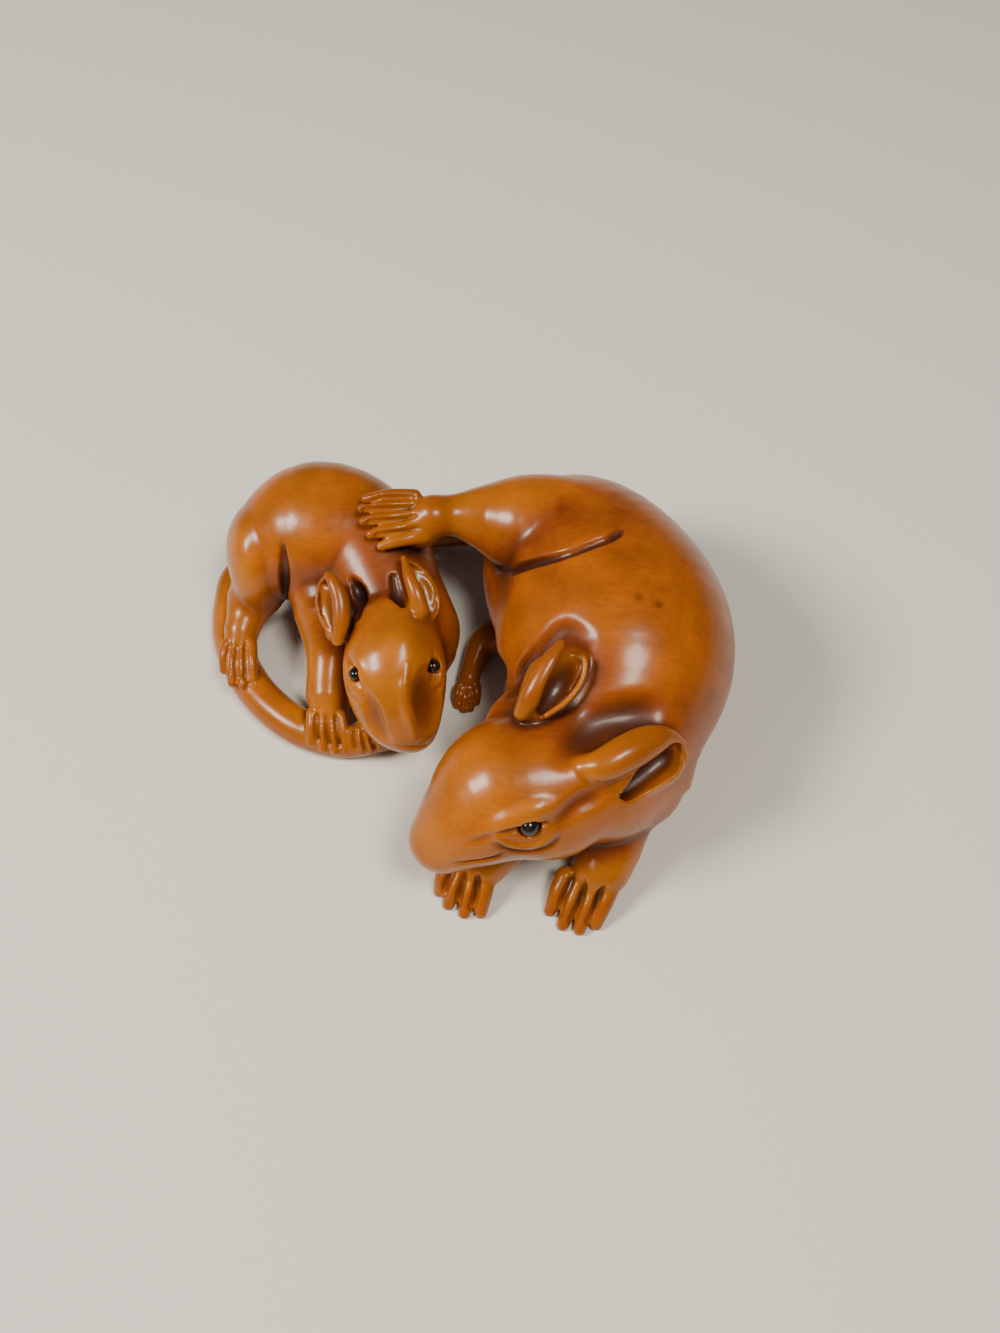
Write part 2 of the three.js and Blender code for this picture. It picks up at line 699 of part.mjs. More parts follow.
// The surface where the block's distance is zero, as closed triangles facing out
function skin(block) {
  const points = [];
  const faces = [];
  const made = new Map();
  const crossing = (a, b) => {
    const [low, high] = a.id < b.id ? [a, b] : [b, a];
    const key = low.id * block.values.length + high.id;
    if (!made.has(key)) {
      const part = low.value / (low.value - high.value);
      const t = Math.min(1 - NEAREST_CROSSING, Math.max(NEAREST_CROSSING, part));
      made.set(key, points.length);
      points.push(low.cell.map((v, n) => block.low[n] + block.step * (v + t * (high.cell[n] - v))));
    }
    return made.get(key);
  };
  const slice = (tet) => {
    const inside = tet.filter((c) => c.value < 0).length;
    if (inside === 0 || inside === 4) return;
    const alone = inside === 3 ? (c) => c.value >= 0 : (c) => c.value < 0;
    const pair = inside === 2;
    const order = evenOrders.find((o) => alone(tet[o[0]]) && (!pair || alone(tet[o[1]])));
    const [p, q, r, s] = order.map((n) => tet[n]);
    if (pair) {
      const ring = [crossing(p, r), crossing(p, s), crossing(q, s), crossing(q, r)];
      faces.push([ring[0], ring[1], ring[2]], [ring[0], ring[2], ring[3]]);
      return;
    }
    const triangle = [crossing(p, q), crossing(p, r), crossing(p, s)];
    faces.push(inside === 1 ? triangle : triangle.reverse());
  };
  const bits = [0, 1, 2, 3, 4, 5, 6, 7].map((n) => [n & 1, (n >> 1) & 1, n >> 2]);
  const steps = bits.map(([i, j, k]) => block.index(i, j, k));
  const cornersOf = (i, j, k, id) =>
    bits.map(([a, b, c], n) => ({
      cell: [i + a, j + b, k + c],
      id: id + steps[n],
      value: block.values[id + steps[n]],
    }));
  for (let k = 0; k < block.count[2] - 1; k += 1) {
    for (let j = 0; j < block.count[1] - 1; j += 1) {
      for (let i = 0; i < block.count[0] - 1; i += 1) {
        const id = block.index(i, j, k);
        const full = block.values[id] < 0;
        if (steps.every((step) => block.values[id + step] < 0 === full)) continue;
        const corners = cornersOf(i, j, k, id);
        for (const tet of tetrahedra) slice(tet.map((n) => corners[n]));
      }
    }
  }
  return { points, faces };
}

// The squared distance to a plane, weighted by the triangle's area, as ten sums
function planeSums([a, b, c]) {
  const u = b.map((v, n) => v - a[n]);
  const w = c.map((v, n) => v - a[n]);
  const normal = cross(u, w);
  const size = Math.hypot(...normal) || 1;
  const [x, y, z] = normal.map((v) => v / size);
  const d = -(x * a[0] + y * a[1] + z * a[2]);
  return [x * x, x * y, x * z, x * d, y * y, y * z, y * d, z * z, z * d, d * d].map((v) => (v * size) / 2);
}

const cross = (u, w) => [u[1] * w[2] - u[2] * w[1], u[2] * w[0] - u[0] * w[2], u[0] * w[1] - u[1] * w[0]];
const dot = (u, w) => u[0] * w[0] + u[1] * w[1] + u[2] * w[2];
const between = (u, w) => [w[0] - u[0], w[1] - u[1], w[2] - u[2]];
const mean = (u, w) => [(u[0] + w[0]) / 2, (u[1] + w[1]) / 2, (u[2] + w[2]) / 2];
const spacing = (u, w) => Math.hypot(w[0] - u[0], w[1] - u[1], w[2] - u[2]);

function planeError(q, [x, y, z]) {
  const squares = q[0] * x * x + q[4] * y * y + q[7] * z * z;
  const products = q[1] * x * y + q[2] * x * z + q[5] * y * z;
  return squares + 2 * (products + q[3] * x + q[6] * y + q[8] * z) + q[9];
}

// The point with the least error for a sum of planes, or null where they hardly differ
function bestPoint(q) {
  const first = [q[0], q[1], q[2]];
  const second = [q[1], q[4], q[5]];
  const third = [q[2], q[5], q[7]];
  const sides = [cross(second, third), cross(third, first), cross(first, second)];
  const size = dot(first, sides[0]);
  if (Math.abs(size) < FLATTEST * (q[0] + q[4] + q[7]) ** 3) return null;
  return [0, 1, 2].map((n) => -(sides[0][n] * q[3] + sides[1][n] * q[6] + sides[2][n] * q[8]) / size);
}

// A queue that gives back its cheapest entry first
class Queue {
  entries = [];

  push(entry) {
    let at = this.entries.push(entry) - 1;
    while (at > 0) {
      const parent = (at - 1) >> 1;
      if (this.entries[parent].cost <= entry.cost) break;
      this.entries[at] = this.entries[parent];
      at = parent;
    }
    this.entries[at] = entry;
  }

  pop() {
    const top = this.entries[0];
    const entry = this.entries.pop();
    if (this.entries.length === 0) return top;
    let at = 0;
    for (;;) {
      let child = 2 * at + 1;
      if (child >= this.entries.length) break;
      const next = this.entries[child + 1];
      if (next && next.cost < this.entries[child].cost) child += 1;
      if (this.entries[child].cost >= entry.cost) break;
      this.entries[at] = this.entries[child];
      at = child;
    }
    this.entries[at] = entry;
    return top;
  }
}

// Draws edges together, the flattest first, until few enough triangles are left.
// An edge stays where joining its ends would fold the surface or pinch it.
function thin({ points, faces }, target) {
  const sums = points.map(() => new Float64Array(10));
  const around = points.map(() => new Set());
  const age = new Uint32Array(points.length);
  const queue = new Queue();
  faces.forEach((face, f) => {
    const plane = planeSums(face.map((v) => points[v]));
    for (const v of face) {
      plane.forEach((value, n) => (sums[v][n] += value));
      around[v].add(f);
    }
  });
  const neighbours = (v) => {
    const found = [];
    for (const f of around[v]) {
      for (const w of faces[f]) {
        if (w !== v && !found.includes(w)) found.push(w);
      }
    }
    return found;
  };
  const q = new Float64Array(10);
  const offer = (a, b) => {
    for (let n = 0; n < 10; n += 1) q[n] = sums[a][n] + sums[b][n];
    const middle = mean(points[a], points[b]);
    const length = spacing(points[a], points[b]);
    const best = bestPoint(q);
    const near = best && spacing(best, middle) < length;
    const place = near ? best : middle;
    const cost = Math.max(0, planeError(q, place)) + EVENNESS * length ** 4;
    queue.push({ cost, a, b, place, ages: age[a] + age[b] });
  };
  const folds = (v, other, place) => {
    for (const f of around[v]) {
      const face = faces[f];
      if (face.includes(other)) continue;
      const turn = face.indexOf(v);
      const next = points[face[(turn + 1) % 3]];
      const last = points[face[(turn + 2) % 3]];
      const edge = between(next, last);
      const before = cross(edge, between(next, points[v]));
      const after = cross(edge, between(next, place));
      const sizes = Math.sqrt(dot(before, before) * dot(after, after));
      if (dot(before, after) <= LEAST_TURN * sizes) return true;
    }
    return false;
  };
  points.forEach((_, v) => neighbours(v).forEach((w) => v < w && offer(v, w)));
  let left = faces.length;
  while (left > target && queue.entries.length > 0) {
    const { a, b, place, ages } = queue.pop();
    if (ages !== age[a] + age[b] || around[a].size === 0 || around[b].size === 0) continue;
    const beside = neighbours(b);
    const shared = neighbours(a).filter((v) => beside.includes(v));
    if (shared.length !== 2 || folds(a, b, place) || folds(b, a, place)) continue;
    for (const f of [...around[b]]) {
      if (faces[f].includes(a)) {
        faces[f].forEach((v) => around[v].delete(f));
        left -= 1;
      } else {
        faces[f] = faces[f].map((v) => (v === b ? a : v));
        around[a].add(f);
      }
    }
    around[b].clear();
    points[a] = place;
    sums[b].forEach((value, n) => (sums[a][n] += value));
    age[a] += 1;
    age[b] += 1;
    neighbours(a).forEach((v) => offer(a, v));
  }
  const kept = new Set([...around].flatMap((set) => [...set]));
  return { points, faces: [...kept].map((f) => faces[f]) };
}

function solidFrom({ points, faces }) {
  const used = [...new Set(faces.flat())];
  const place = new Map(used.map((v, i) => [v, i]));
  return new wasm.Manifold(
    new wasm.Mesh({
      numProp: 3,
      vertProperties: new Float32Array(used.flatMap((v) => points[v])),
      triVerts: new Uint32Array(faces.flat().map((v) => place.get(v))),
    }),
  );
}

function solidFromGeometry(geometry) {
  const bare = geometry.clone();
  bare.deleteAttribute("normal");
  bare.deleteAttribute("uv");
  const merged = mergeVertices(bare);
  return new wasm.Manifold(
    new wasm.Mesh({
      numProp: 3,
      vertProperties: merged.attributes.position.array,
      triVerts: new Uint32Array(merged.index.array),
    }),
  );
}

function geometryFrom(solid) {
  const mesh = solid.getMesh();
  const geometry = new THREE.BufferGeometry();
  geometry.setAttribute("position", new THREE.BufferAttribute(mesh.vertProperties, 3));
  geometry.setIndex(new THREE.BufferAttribute(mesh.triVerts, 1));
  geometry.computeVertexNormals();
  return geometry;
}

// Cuts the soles, the belly and the tail flat, at one level
function cutSoles(solid) {
  const floor = new THREE.BoxGeometry(2 * LENGTH, 2 * LENGTH, LENGTH);
  floor.translate(0, 0, SOLE_CUT - LENGTH / 2);
  return solid.subtract(solidFromGeometry(floor));
}

const block = new Block(
  [...scaled(BLOCK_LOW), SOLE_CUT - REACH_STEPS * SURFACE_STEP],
  scaled(BLOCK_HIGH),
  SURFACE_STEP,
);
carveGrownRat(block);
carveTail(block);
carveYoungRat(block);
carveDetails(block);
const eyes = [
  fitEye(block, "grown_rat_left_eye", GROWN.leftEye, GROWN_EYE_DIAMETER),
  fitEye(block, "grown_rat_right_eye", GROWN.rightEye, GROWN_EYE_DIAMETER),
  fitEye(block, "young_rat_left_eye", YOUNG.leftEye, YOUNG_EYE_DIAMETER),
  fitEye(block, "young_rat_right_eye", YOUNG.rightEye, YOUNG_EYE_DIAMETER),
];
block.fillPockets();

const carving = new THREE.Mesh(
  geometryFrom(cutSoles(solidFrom(thin(skin(block), CARVING_TRIANGLES)))),
  new THREE.MeshStandardMaterial({ color: 0xb8722c, roughness: 0.3, metalness: 0 }),
);
carving.name = "boxwood_carving";

// The origin is under the middle of the carving, level with its soles.
const netsuke = new THREE.Group();
const figures = new THREE.Group();
figures.add(carving, ...eyes);
carving.geometry.computeBoundingBox();
const middle = carving.geometry.boundingBox.getCenter(new THREE.Vector3());
figures.position.set(-middle.x, -middle.y, -SOLE_CUT);
netsuke.add(figures);

export default netsuke;
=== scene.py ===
import math

import bpy
import numpy as np
from mathutils import Matrix, Vector


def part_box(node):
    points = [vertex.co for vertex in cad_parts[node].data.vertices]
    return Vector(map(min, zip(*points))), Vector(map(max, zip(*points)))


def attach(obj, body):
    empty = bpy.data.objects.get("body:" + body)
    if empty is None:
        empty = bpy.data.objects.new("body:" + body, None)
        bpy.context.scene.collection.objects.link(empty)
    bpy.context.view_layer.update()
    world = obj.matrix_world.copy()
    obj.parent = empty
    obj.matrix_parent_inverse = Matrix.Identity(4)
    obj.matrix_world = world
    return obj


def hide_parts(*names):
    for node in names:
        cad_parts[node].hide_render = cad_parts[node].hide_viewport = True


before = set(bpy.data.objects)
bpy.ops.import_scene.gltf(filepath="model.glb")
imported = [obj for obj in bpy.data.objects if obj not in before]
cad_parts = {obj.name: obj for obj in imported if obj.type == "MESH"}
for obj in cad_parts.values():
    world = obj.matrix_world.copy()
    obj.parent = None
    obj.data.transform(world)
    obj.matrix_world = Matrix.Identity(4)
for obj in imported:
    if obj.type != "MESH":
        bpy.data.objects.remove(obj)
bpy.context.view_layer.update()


# The carving
# Two rats and their tail are cut from one piece of boxwood, then scraped, rubbed down and polished.
# Its form is kept as a distance: how far each point of a fine grid is from the surface, in
# millimetres, with points in the wood below zero. Carved forms are joined to it and cut from it.

# Sizes in millimetres. Stations are x, y, z and radius in shares of SHARE millimetres, and the
# surface runs smoothly through them.
SHARE = 0.54
SOLE_CUT = 0.5
TAIL_DIAMETER = 4.0
GROWN_TOE_DIAMETER = 1.9
YOUNG_TOE_DIAMETER = 1.45
GROWN_EAR_RIM = 0.6
YOUNG_EAR_RIM = 0.45
GROWN_EYE_DIAMETER = 1.9
YOUNG_EYE_DIAMETER = 1.3
EYE_CLEARANCE = 0.12
THIGH_CREASE_WIDTH = 1.1
HAUNCH_CREASE_WIDTH = 1.21
RIGHT_RECESS_WIDTH = 1.65
LEFT_RECESS_WIDTH = 1.54
BROW_WIDTH = 2.6
BROW_RISE = 0.5
CREVICE_REACH = 1.2
SHELTER_REACH = 4.6
SPECK_SIZE = 0.4
GRID_STEP = 0.2

# Blends in shares: how widely a form runs into what it is joined to or cut from
FLANK_BLEND = 5.6
SOFT_BLEND = 3.4
LIMB_BLEND = 3.0
FIRM_BLEND = 1.7
EAR_BLEND = 1.4
BROW_BLEND = 1.2
RIDGE_BLEND = 0.8
TOE_BLEND = 0.6
LID_BLEND = 0.5
FINE_BLEND = 0.3
OPENING_BLEND = 0.2

# The toes: the knuckles' rise in shares, then parts of a toe's radius and of the way to its tip
KNUCKLE_RISE = 0.5
ROOT_SWELL = 1.1
TIP_SHARE = 0.66
GROOVE_REACH = 0.95
GROOVE_STAGES = [0, 0.15, 1]
GROOVE_SHARES = [0.15, 0.42, 0.46]
GROOVE_PLACES = 8

# The tail's last two radii as parts of its full radius
TAIL_TAPER = [0.94, 0.75]

# The eyes and their lids as parts of an eye's diameter
EYE_SINK = 0.25
LID_WIDTH = 0.32
LID_RISE = 0.16
OPENING_WIDTH = 0.55

# A shallow cut rises at its ends by this part of its depth.
END_LIFT = 0.8

# A speck fades out over SPECK_SIZE, and ends this many times that far from its middle.
SPECK_EDGE = 1.5

# The block's corners in shares, and the distance in millimetres that places far from every form have
BLOCK_LOW = [-54, -49, 0]
BLOCK_HIGH = [54, 49, 48]
FAR = 3.0

# How the grid and the surface are worked out
LEAST = 1e-9
MARGIN_STEPS = 3
SETTLE_ROUNDS = 8
MEAN_ROUNDS = 3
RELAX_ROUNDS = 3
MOST_TRIANGLES = 195000
CORNERS = np.array([(i, j, k) for i in (0, 1) for j in (0, 1) for k in (0, 1)])

# The grown rat's forms
GROWN = {
    "trunk": [
        [18.0, 28.2, 20.6, 11.2],
        [23.4, 22.0, 21.3, 18.2],
        [28.6, 12.8, 21.6, 21.0],
        [30.6, 3.5, 21.8, 21.9],
        [29.9, -5.6, 21.5, 18.9],
        [28.3, -15.9, 21.2, 14.9],
        [27.4, -21.7, 20.4, 11.7],
    ],
    "flank": {"centre": [-6.8, 17, 33], "radii": [17.4, 17.6, 16.7]},
    "armpit": [[8.0, 9.0, 4.0, 2.4], [8.0, 3.4, 14.0, 2.6], [8.2, -3.0, 24.0, 2.0]],
    "head": [
        [24.2, -22.3, 24.1, 12.2],
        [18.2, -24.5, 24.4, 12.6],
        [10.9, -26.2, 24.4, 12.2],
        [5.5, -29.8, 22.5, 9.4],
        [-0.1, -33.4, 19.2, 6.1],
    ],
    "cheek": {"centre": [17.7, -33.0, 22.6], "radii": [7.4, 4.8, 5.6]},
    "neck": [[26.0, -12.0, 22.0, 10.0], [14.9, -13.9, 21.0, 8.6]],
    "right_thigh": [
        [30.0, 24.6, 28.9, 4.2],
        [22.8, 24.8, 30.6, 8.8],
        [15.2, 25.3, 30.6, 9.7],
        [7.6, 26.1, 31.6, 6.6],
        [1.2, 25.3, 33.6, 4.1],
        [-3.9, 24.2, 34.6, 3.6],
    ],
    "right_hind_foot": {
        "ankle": [-3.6, 24.0, 35.0, 3.7],
        "palm": 4.6,
        "knuckles": [[-7.2, 26.6, 37.2], [-5.2, 20.4, 33.6]],
        "tips": [
            [-16.2, 26.2, 36.9], [-16.7, 23.8, 37.1], [-16.3, 21.6, 36.2], [-15.0, 19.6, 34.9],
            [-13.1, 18.2, 33.2],
        ],
    },
    "left_hind_leg": [
        [18.0, 22.0, 11.0, 9.0],
        [11.0, 17.4, 7.0, 4.6],
        [6.0, 15.4, 5.2, 3.0],
        [4.0, 11.4, 4.2, 2.3],
        [3.0, 7.6, 3.6, 1.9],
    ],
    "left_hind_foot": {
        "ankle": [3.0, 7.8, 3.6, 1.8],
        "palm": 1.7,
        "knuckles": [[1.4, 5.6, 3.0], [4.0, 5.9, 3.0]],
        "tips": [[0.7, 2.6, 1.6], [2.0, 1.7, 1.6], [3.3, 1.9, 1.6], [4.4, 3.3, 1.6]],
    },
    "left_foreleg": [
        [34.1, -18.7, 16.7, 10.0],
        [32.2, -24.4, 11.7, 5.9],
        [29.6, -30.0, 7.8, 5.7],
        [28.2, -33.0, 6.0, 5.2],
    ],
    "left_fore_foot": {
        "ankle": [28.0, -33.2, 6.0, 5.0],
        "palm": 4.0,
        "knuckles": [[21.6, -34.8, 5.6], [29.8, -36.0, 6.0]],
        "tips": [[18.9, -40.0, 2.0], [21.2, -42.6, 1.8], [24.2, -43.4, 1.8], [27.2, -42.4, 1.8]],
    },
    "right_foreleg": [
        [17.5, -24.8, 16.7, 7.5],
        [12.0, -27.8, 9.3, 5.1],
        [7.0, -32.4, 5.4, 4.2],
    ],
    "right_fore_foot": {
        "ankle": [5.4, -32.0, 5.0, 4.0],
        "palm": 3.6,
        "knuckles": [[0.2, -33.6, 5.0], [7.2, -34.4, 5.4]],
        "tips": [[-1.3, -36.6, 2.0], [0.4, -39.0, 1.8], [3.3, -40.6, 1.8], [6.3, -40.5, 1.8]],
    },
    "right_ear": {
        "body": [
            [14.6, -17.0, 35.0, 3.0],
            [18.1, -11.4, 37.0, 4.4],
            [20.6, -9.3, 38.5, 3.6],
        ],
        "roll": [
            [12.9, -18.5, 37.5, 1.4],
            [14.7, -16.1, 40.0, 2.1],
            [17.1, -12.3, 42.5, 1.8],
            [19.3, -9.0, 44.0, 0.9],
        ],
        "rim": [
            [19.3, -9.0, 44.0],
            [21.9, -8.7, 43.0],
            [23.3, -10.9, 41.5],
            [22.7, -13.9, 40.0],
            [20.2, -16.9, 38.5],
            [16.9, -18.8, 37.0],
        ],
        "hollow": [
            [16.6, -18.0, 38.0, 1.5],
            [19.0, -15.1, 40.0, 3.2],
            [21.1, -11.7, 42.0, 2.6],
        ],
    },
    "left_ear": {
        "body": [
            [24.4, -27.8, 31.0, 2.8],
            [31.3, -25.3, 29.5, 4.4],
            [36.3, -23.0, 29.0, 4.4],
        ],
        "roll": [
            [22.1, -26.9, 34.6, 1.6],
            [25.8, -27.1, 35.4, 2.7],
            [30.0, -25.0, 35.9, 3.1],
            [33.9, -22.6, 35.5, 2.8],
            [37.4, -21.1, 34.5, 1.6],
            [40.0, -21.3, 32.5, 0.8],
        ],
        "rim": [
            [40.0, -21.3, 32.5],
            [40.8, -22.8, 29.5],
            [38.8, -25.3, 28.0],
            [35.7, -27.0, 27.5],
            [32.3, -28.7, 27.5],
            [28.4, -30.2, 28.5],
            [25.5, -30.6, 31.0],
        ],
        "hollow": [
            [28.8, -29.6, 30.4, 1.1],
            [30.4, -28.9, 30.1, 1.8],
            [33.4, -26.9, 31.0, 2.6],
            [37.1, -24.1, 32.0, 2.9],
            [39.1, -22.7, 32.5, 1.4],
        ],
    },
    "thigh_crease": [
        [8.5, 19.6, 24.5],
        [12.5, 13.7, 32.1],
        [19.4, 11.2, 40.2],
        [26.4, 12.8, 42.1],
        [29.3, 14.6, 42.0],
        [30.4, 16.1, 42.1],
    ],
    "brow": [
        [21.0, -33.0, 33.4], [16.3, -34.6, 33.8], [13.1, -35.3, 32.9], [9.8, -36.0, 31.2],
        [5.9, -36.9, 28.5],
    ],
    "left_eye": {
        "place": [14.4, -36.4, 30.6],
        "opening": [[9.5, -37.4, 30.5], [11.5, -37.1, 30.9], [14.4, -36.5, 30.7], [17.2, -35.6, 31.2]],
        "lower_lid": [
            [8.9, -37.5, 29.4], [11.2, -37.9, 27.8], [14.0, -37.9, 27.0], [16.8, -37.3, 27.9],
            [18.7, -36.2, 30.0],
        ],
        "lid_groove": [
            [8.2, -37.8, 28.3], [10.9, -38.3, 26.3], [14.4, -38.2, 25.0], [17.9, -37.6, 26.2],
            [20.1, -36.4, 28.9],
        ],
    },
    "right_eye": {
        "place": [6.0, -15.0, 24.6],
        "opening": [[2.4, -18.0, 24.8], [6.0, -15.2, 24.8], [8.6, -14.0, 24.8]],
        "lower_lid": [[1.9, -18.2, 23.6], [5.8, -15.0, 21.6], [9.0, -13.8, 23.4]],
        "lid_groove": [[1.4, -18.4, 22.4], [5.6, -15.0, 20.0], [9.6, -13.6, 22.2]],
    },
}

# The tail leaves the grown rat's rump, passes behind and under the young one,
# and ends under its chin. Past its root it is TAIL_DIAMETER thick.
TAIL_ROOT = [
    [21.3, 30.6, 12.0, 7.0],
    [7.4, 41.0, 8.9, 4.5],
    [-6.5, 42.2, 6.7, 3.9],
]
TAIL = [
    [-6.5, 42.2, 6.7],
    [-21.3, 42.2, 5.2],
    [-35.2, 40.0, 4.5],
    [-45.0, 31.6, 4.2],
    [-46.4, 24.6, 4.0],
    [-45.6, 16.4, 4.0],
    [-42.5, 8.9, 4.0],
    [-37.4, 1.8, 4.0],
    [-29.8, -4.2, 4.0],
    [-21.1, -7.0, 4.0],
    [-13.0, -6.0, 3.8],
]

# The young rat's forms
YOUNG = {
    "trunk": [
        [-34.2, 28.0, 19.6, 10.7],
        [-26.6, 29.9, 21.6, 13.7],
        [-17.8, 26.4, 21.6, 12.2],
        [-12.7, 17.1, 20.0, 10.6],
        [-8.9, 9.4, 17.8, 10.3],
    ],
    "haunch": {"centre": [-38.4, 25.8, 17.4], "radii": [6.3, 9.8, 11.9]},
    "right_hind_leg": [
        [-40.9, 20.0, 11.4, 4.8],
        [-42.3, 14.4, 9.8, 3.2],
    ],
    "right_hind_foot": {
        "ankle": [-42.2, 14.2, 10.0, 3.2],
        "palm": 3.0,
        "knuckles": [[-44.6, 10.6, 9.9], [-40.3, 10.8, 9.7]],
        "tips": [[-45.2, 6.2, 7.8], [-43.3, 3.4, 7.6], [-41.2, 2.9, 7.6], [-39.3, 4.3, 7.6]],
    },
    "right_foreleg": [
        [-24.4, 17.2, 16.9, 7.5],
        [-23.9, 8.6, 12.0, 4.9],
        [-24.2, 0.8, 9.0, 4.2],
    ],
    "right_fore_foot": {
        "ankle": [-23.8, 0.4, 9.2, 3.6],
        "palm": 3.2,
        "knuckles": [[-26.6, -3.8, 8.6], [-21.2, -4.4, 8.6]],
        "tips": [[-26.8, -8.4, 6.0], [-24.4, -9.6, 5.6], [-22.2, -10.0, 5.4], [-20.4, -9.6, 5.4]],
    },
    "left_foreleg": [
        [-4.6, 9.5, 11.1, 5.1],
        [-9.3, -0.3, 6.8, 3.5],
        [-14.6, -4.6, 6.6, 2.9],
    ],
    "left_fore_foot": {
        "ankle": [-14.6, -4.6, 6.8, 2.9],
        "palm": 2.8,
        "knuckles": [[-19.0, -7.0, 7.2], [-14.8, -7.4, 7.2]],
        "tips": [[-18.8, -9.2, 4.9], [-17.2, -9.6, 4.8], [-15.4, -9.4, 4.8], [-13.8, -8.6, 4.8]],
    },
    "head": [
        [-10.6, 4.4, 23.0, 8.5],
        [-10.2, -1.6, 21.5, 9.5],
        [-9.3, -6.2, 17.6, 8.1],
        [-7.6, -8.8, 14.8, 5.5],
        [-6.0, -10.2, 13.4, 3.0],
    ],
    "bridge": [
        [-8.4, -0.6, 29.4, 2.0],
        [-7.8, -5.4, 26.0, 1.6],
        [-7.2, -9.0, 21.6, 1.3],
        [-6.2, -11.6, 16.6, 1.1],
    ],
    "right_ear": {
        "body": [
            [-20.9, 4.9, 25.0, 2.4],
            [-21.6, 8.6, 27.0, 2.6],
            [-22.4, 11.0, 29.0, 2.0],
        ],
        "roll": [
            [-20.5, 2.0, 26.5, 1.2],
            [-19.9, 4.7, 29.0, 1.7],
            [-20.1, 7.8, 31.0, 1.7],
            [-21.2, 10.2, 32.5, 1.3],
            [-22.4, 11.8, 33.0, 0.7],
        ],
        "rim": [
            [-22.4, 11.8, 33.0],
            [-24.0, 11.2, 31.0],
            [-24.6, 8.4, 29.0],
            [-23.4, 5.1, 27.0],
            [-20.9, 2.7, 26.0],
        ],
        "hollow": [
            [-22.5, 3.4, 28.2, 1.5],
            [-23.9, 6.5, 30.4, 2.5],
            [-23.9, 9.4, 32.0, 1.7],
        ],
    },
    "left_ear": {
        "body": [
            [-5.1, 8.5, 27.0, 2.0],
            [-5.1, 11.9, 28.5, 2.2],
            [-7.0, 14.5, 30.5, 1.2],
        ],
        "roll": [
            [-8.8, 15.4, 33.5, 0.5],
            [-7.7, 11.8, 33.3, 1.1],
            [-6.3, 8.9, 32.0, 1.6],
            [-5.4, 6.5, 30.0, 1.8],
        ],
        "rim": [
            [-8.8, 15.4, 33.5],
            [-5.0, 14.2, 30.9],
            [-2.7, 11.2, 28.7],
            [-2.6, 7.7, 27.3],
            [-4.2, 5.9, 27.2],
        ],
        "hollow": [
            [-3.7, 7.2, 28.9, 1.3],
            [-4.4, 10.2, 31.2, 2.0],
            [-6.4, 13.0, 32.6, 1.2],
        ],
    },
    "haunch_crease": [
        [-31.8, 20.8, 29.7],
        [-31.8, 18.5, 24.9],
        [-32.8, 17.8, 16.2],
    ],
    "right_ear_hollow": [
        [-18.6, 13.5, 28.6],
        [-17.1, 11.1, 27.6],
        [-16.9, 5.7, 28.6],
    ],
    "left_ear_hollow": [
        [-10.6, 13.4, 31.0],
        [-9.9, 9.9, 30.0],
        [-8.6, 7.0, 31.0],
    ],
    "right_eye": {
        "place": [-17.2, -5.3, 26.6],
        "opening": [[-18.8, -1.6, 26.2], [-17.7, -3.8, 26.8], [-16.9, -5.7, 26.8], [-15.6, -8.0, 26.4]],
        "lower_lid": [
            [-19.3, -1.4, 25.0], [-18.9, -4.2, 24.5], [-17.7, -6.7, 24.5], [-15.8, -8.8, 25.4],
        ],
        "lid_groove": [
            [-19.6, -2.0, 23.6], [-18.9, -5.0, 22.8], [-17.5, -7.6, 22.8], [-15.6, -9.4, 24.2],
        ],
    },
    "left_eye": {
        "place": [-2.4, -3.4, 26.6],
        "opening": [[-3.1, -0.8, 27.6], [-2.4, -2.4, 27.0], [-2.3, -4.4, 26.0], [-2.9, -6.6, 25.4]],
        "lower_lid": [[-2.2, -0.8, 26.2], [-1.5, -2.6, 25.2], [-1.5, -4.8, 24.4], [-2.4, -7.0, 24.2]],
        "lid_groove": [[-1.8, -0.6, 25.0], [-1.0, -2.8, 24.0], [-1.2, -5.2, 23.0], [-2.2, -7.4, 23.2]],
    },
}

# Wide hollows, each a path on the carved surface with its width and depth in millimetres
# and its blend in shares
WIDE_HOLLOWS = [
    # Between the grown rat's crown and its shoulder
    {
        "path": [
            [20.2, -25.2, 35.1], [23.3, -22.3, 34.9], [27.0, -19.6, 35.3], [31.4, -18.2, 36.4],
            [35.3, -17.5, 36.7],
        ],
        "width": 3.96,
        "depth": 1.1,
        "blend": 2.4,
    },
    # Round the root of its right ear
    {
        "path": [[10.5, -9.6, 27.0], [12.5, -8.4, 31.9], [15.5, -6.5, 36.5], [18.6, -4.6, 39.4]],
        "width": 2.64,
        "depth": 0.8,
        "blend": 1.5,
    },
]

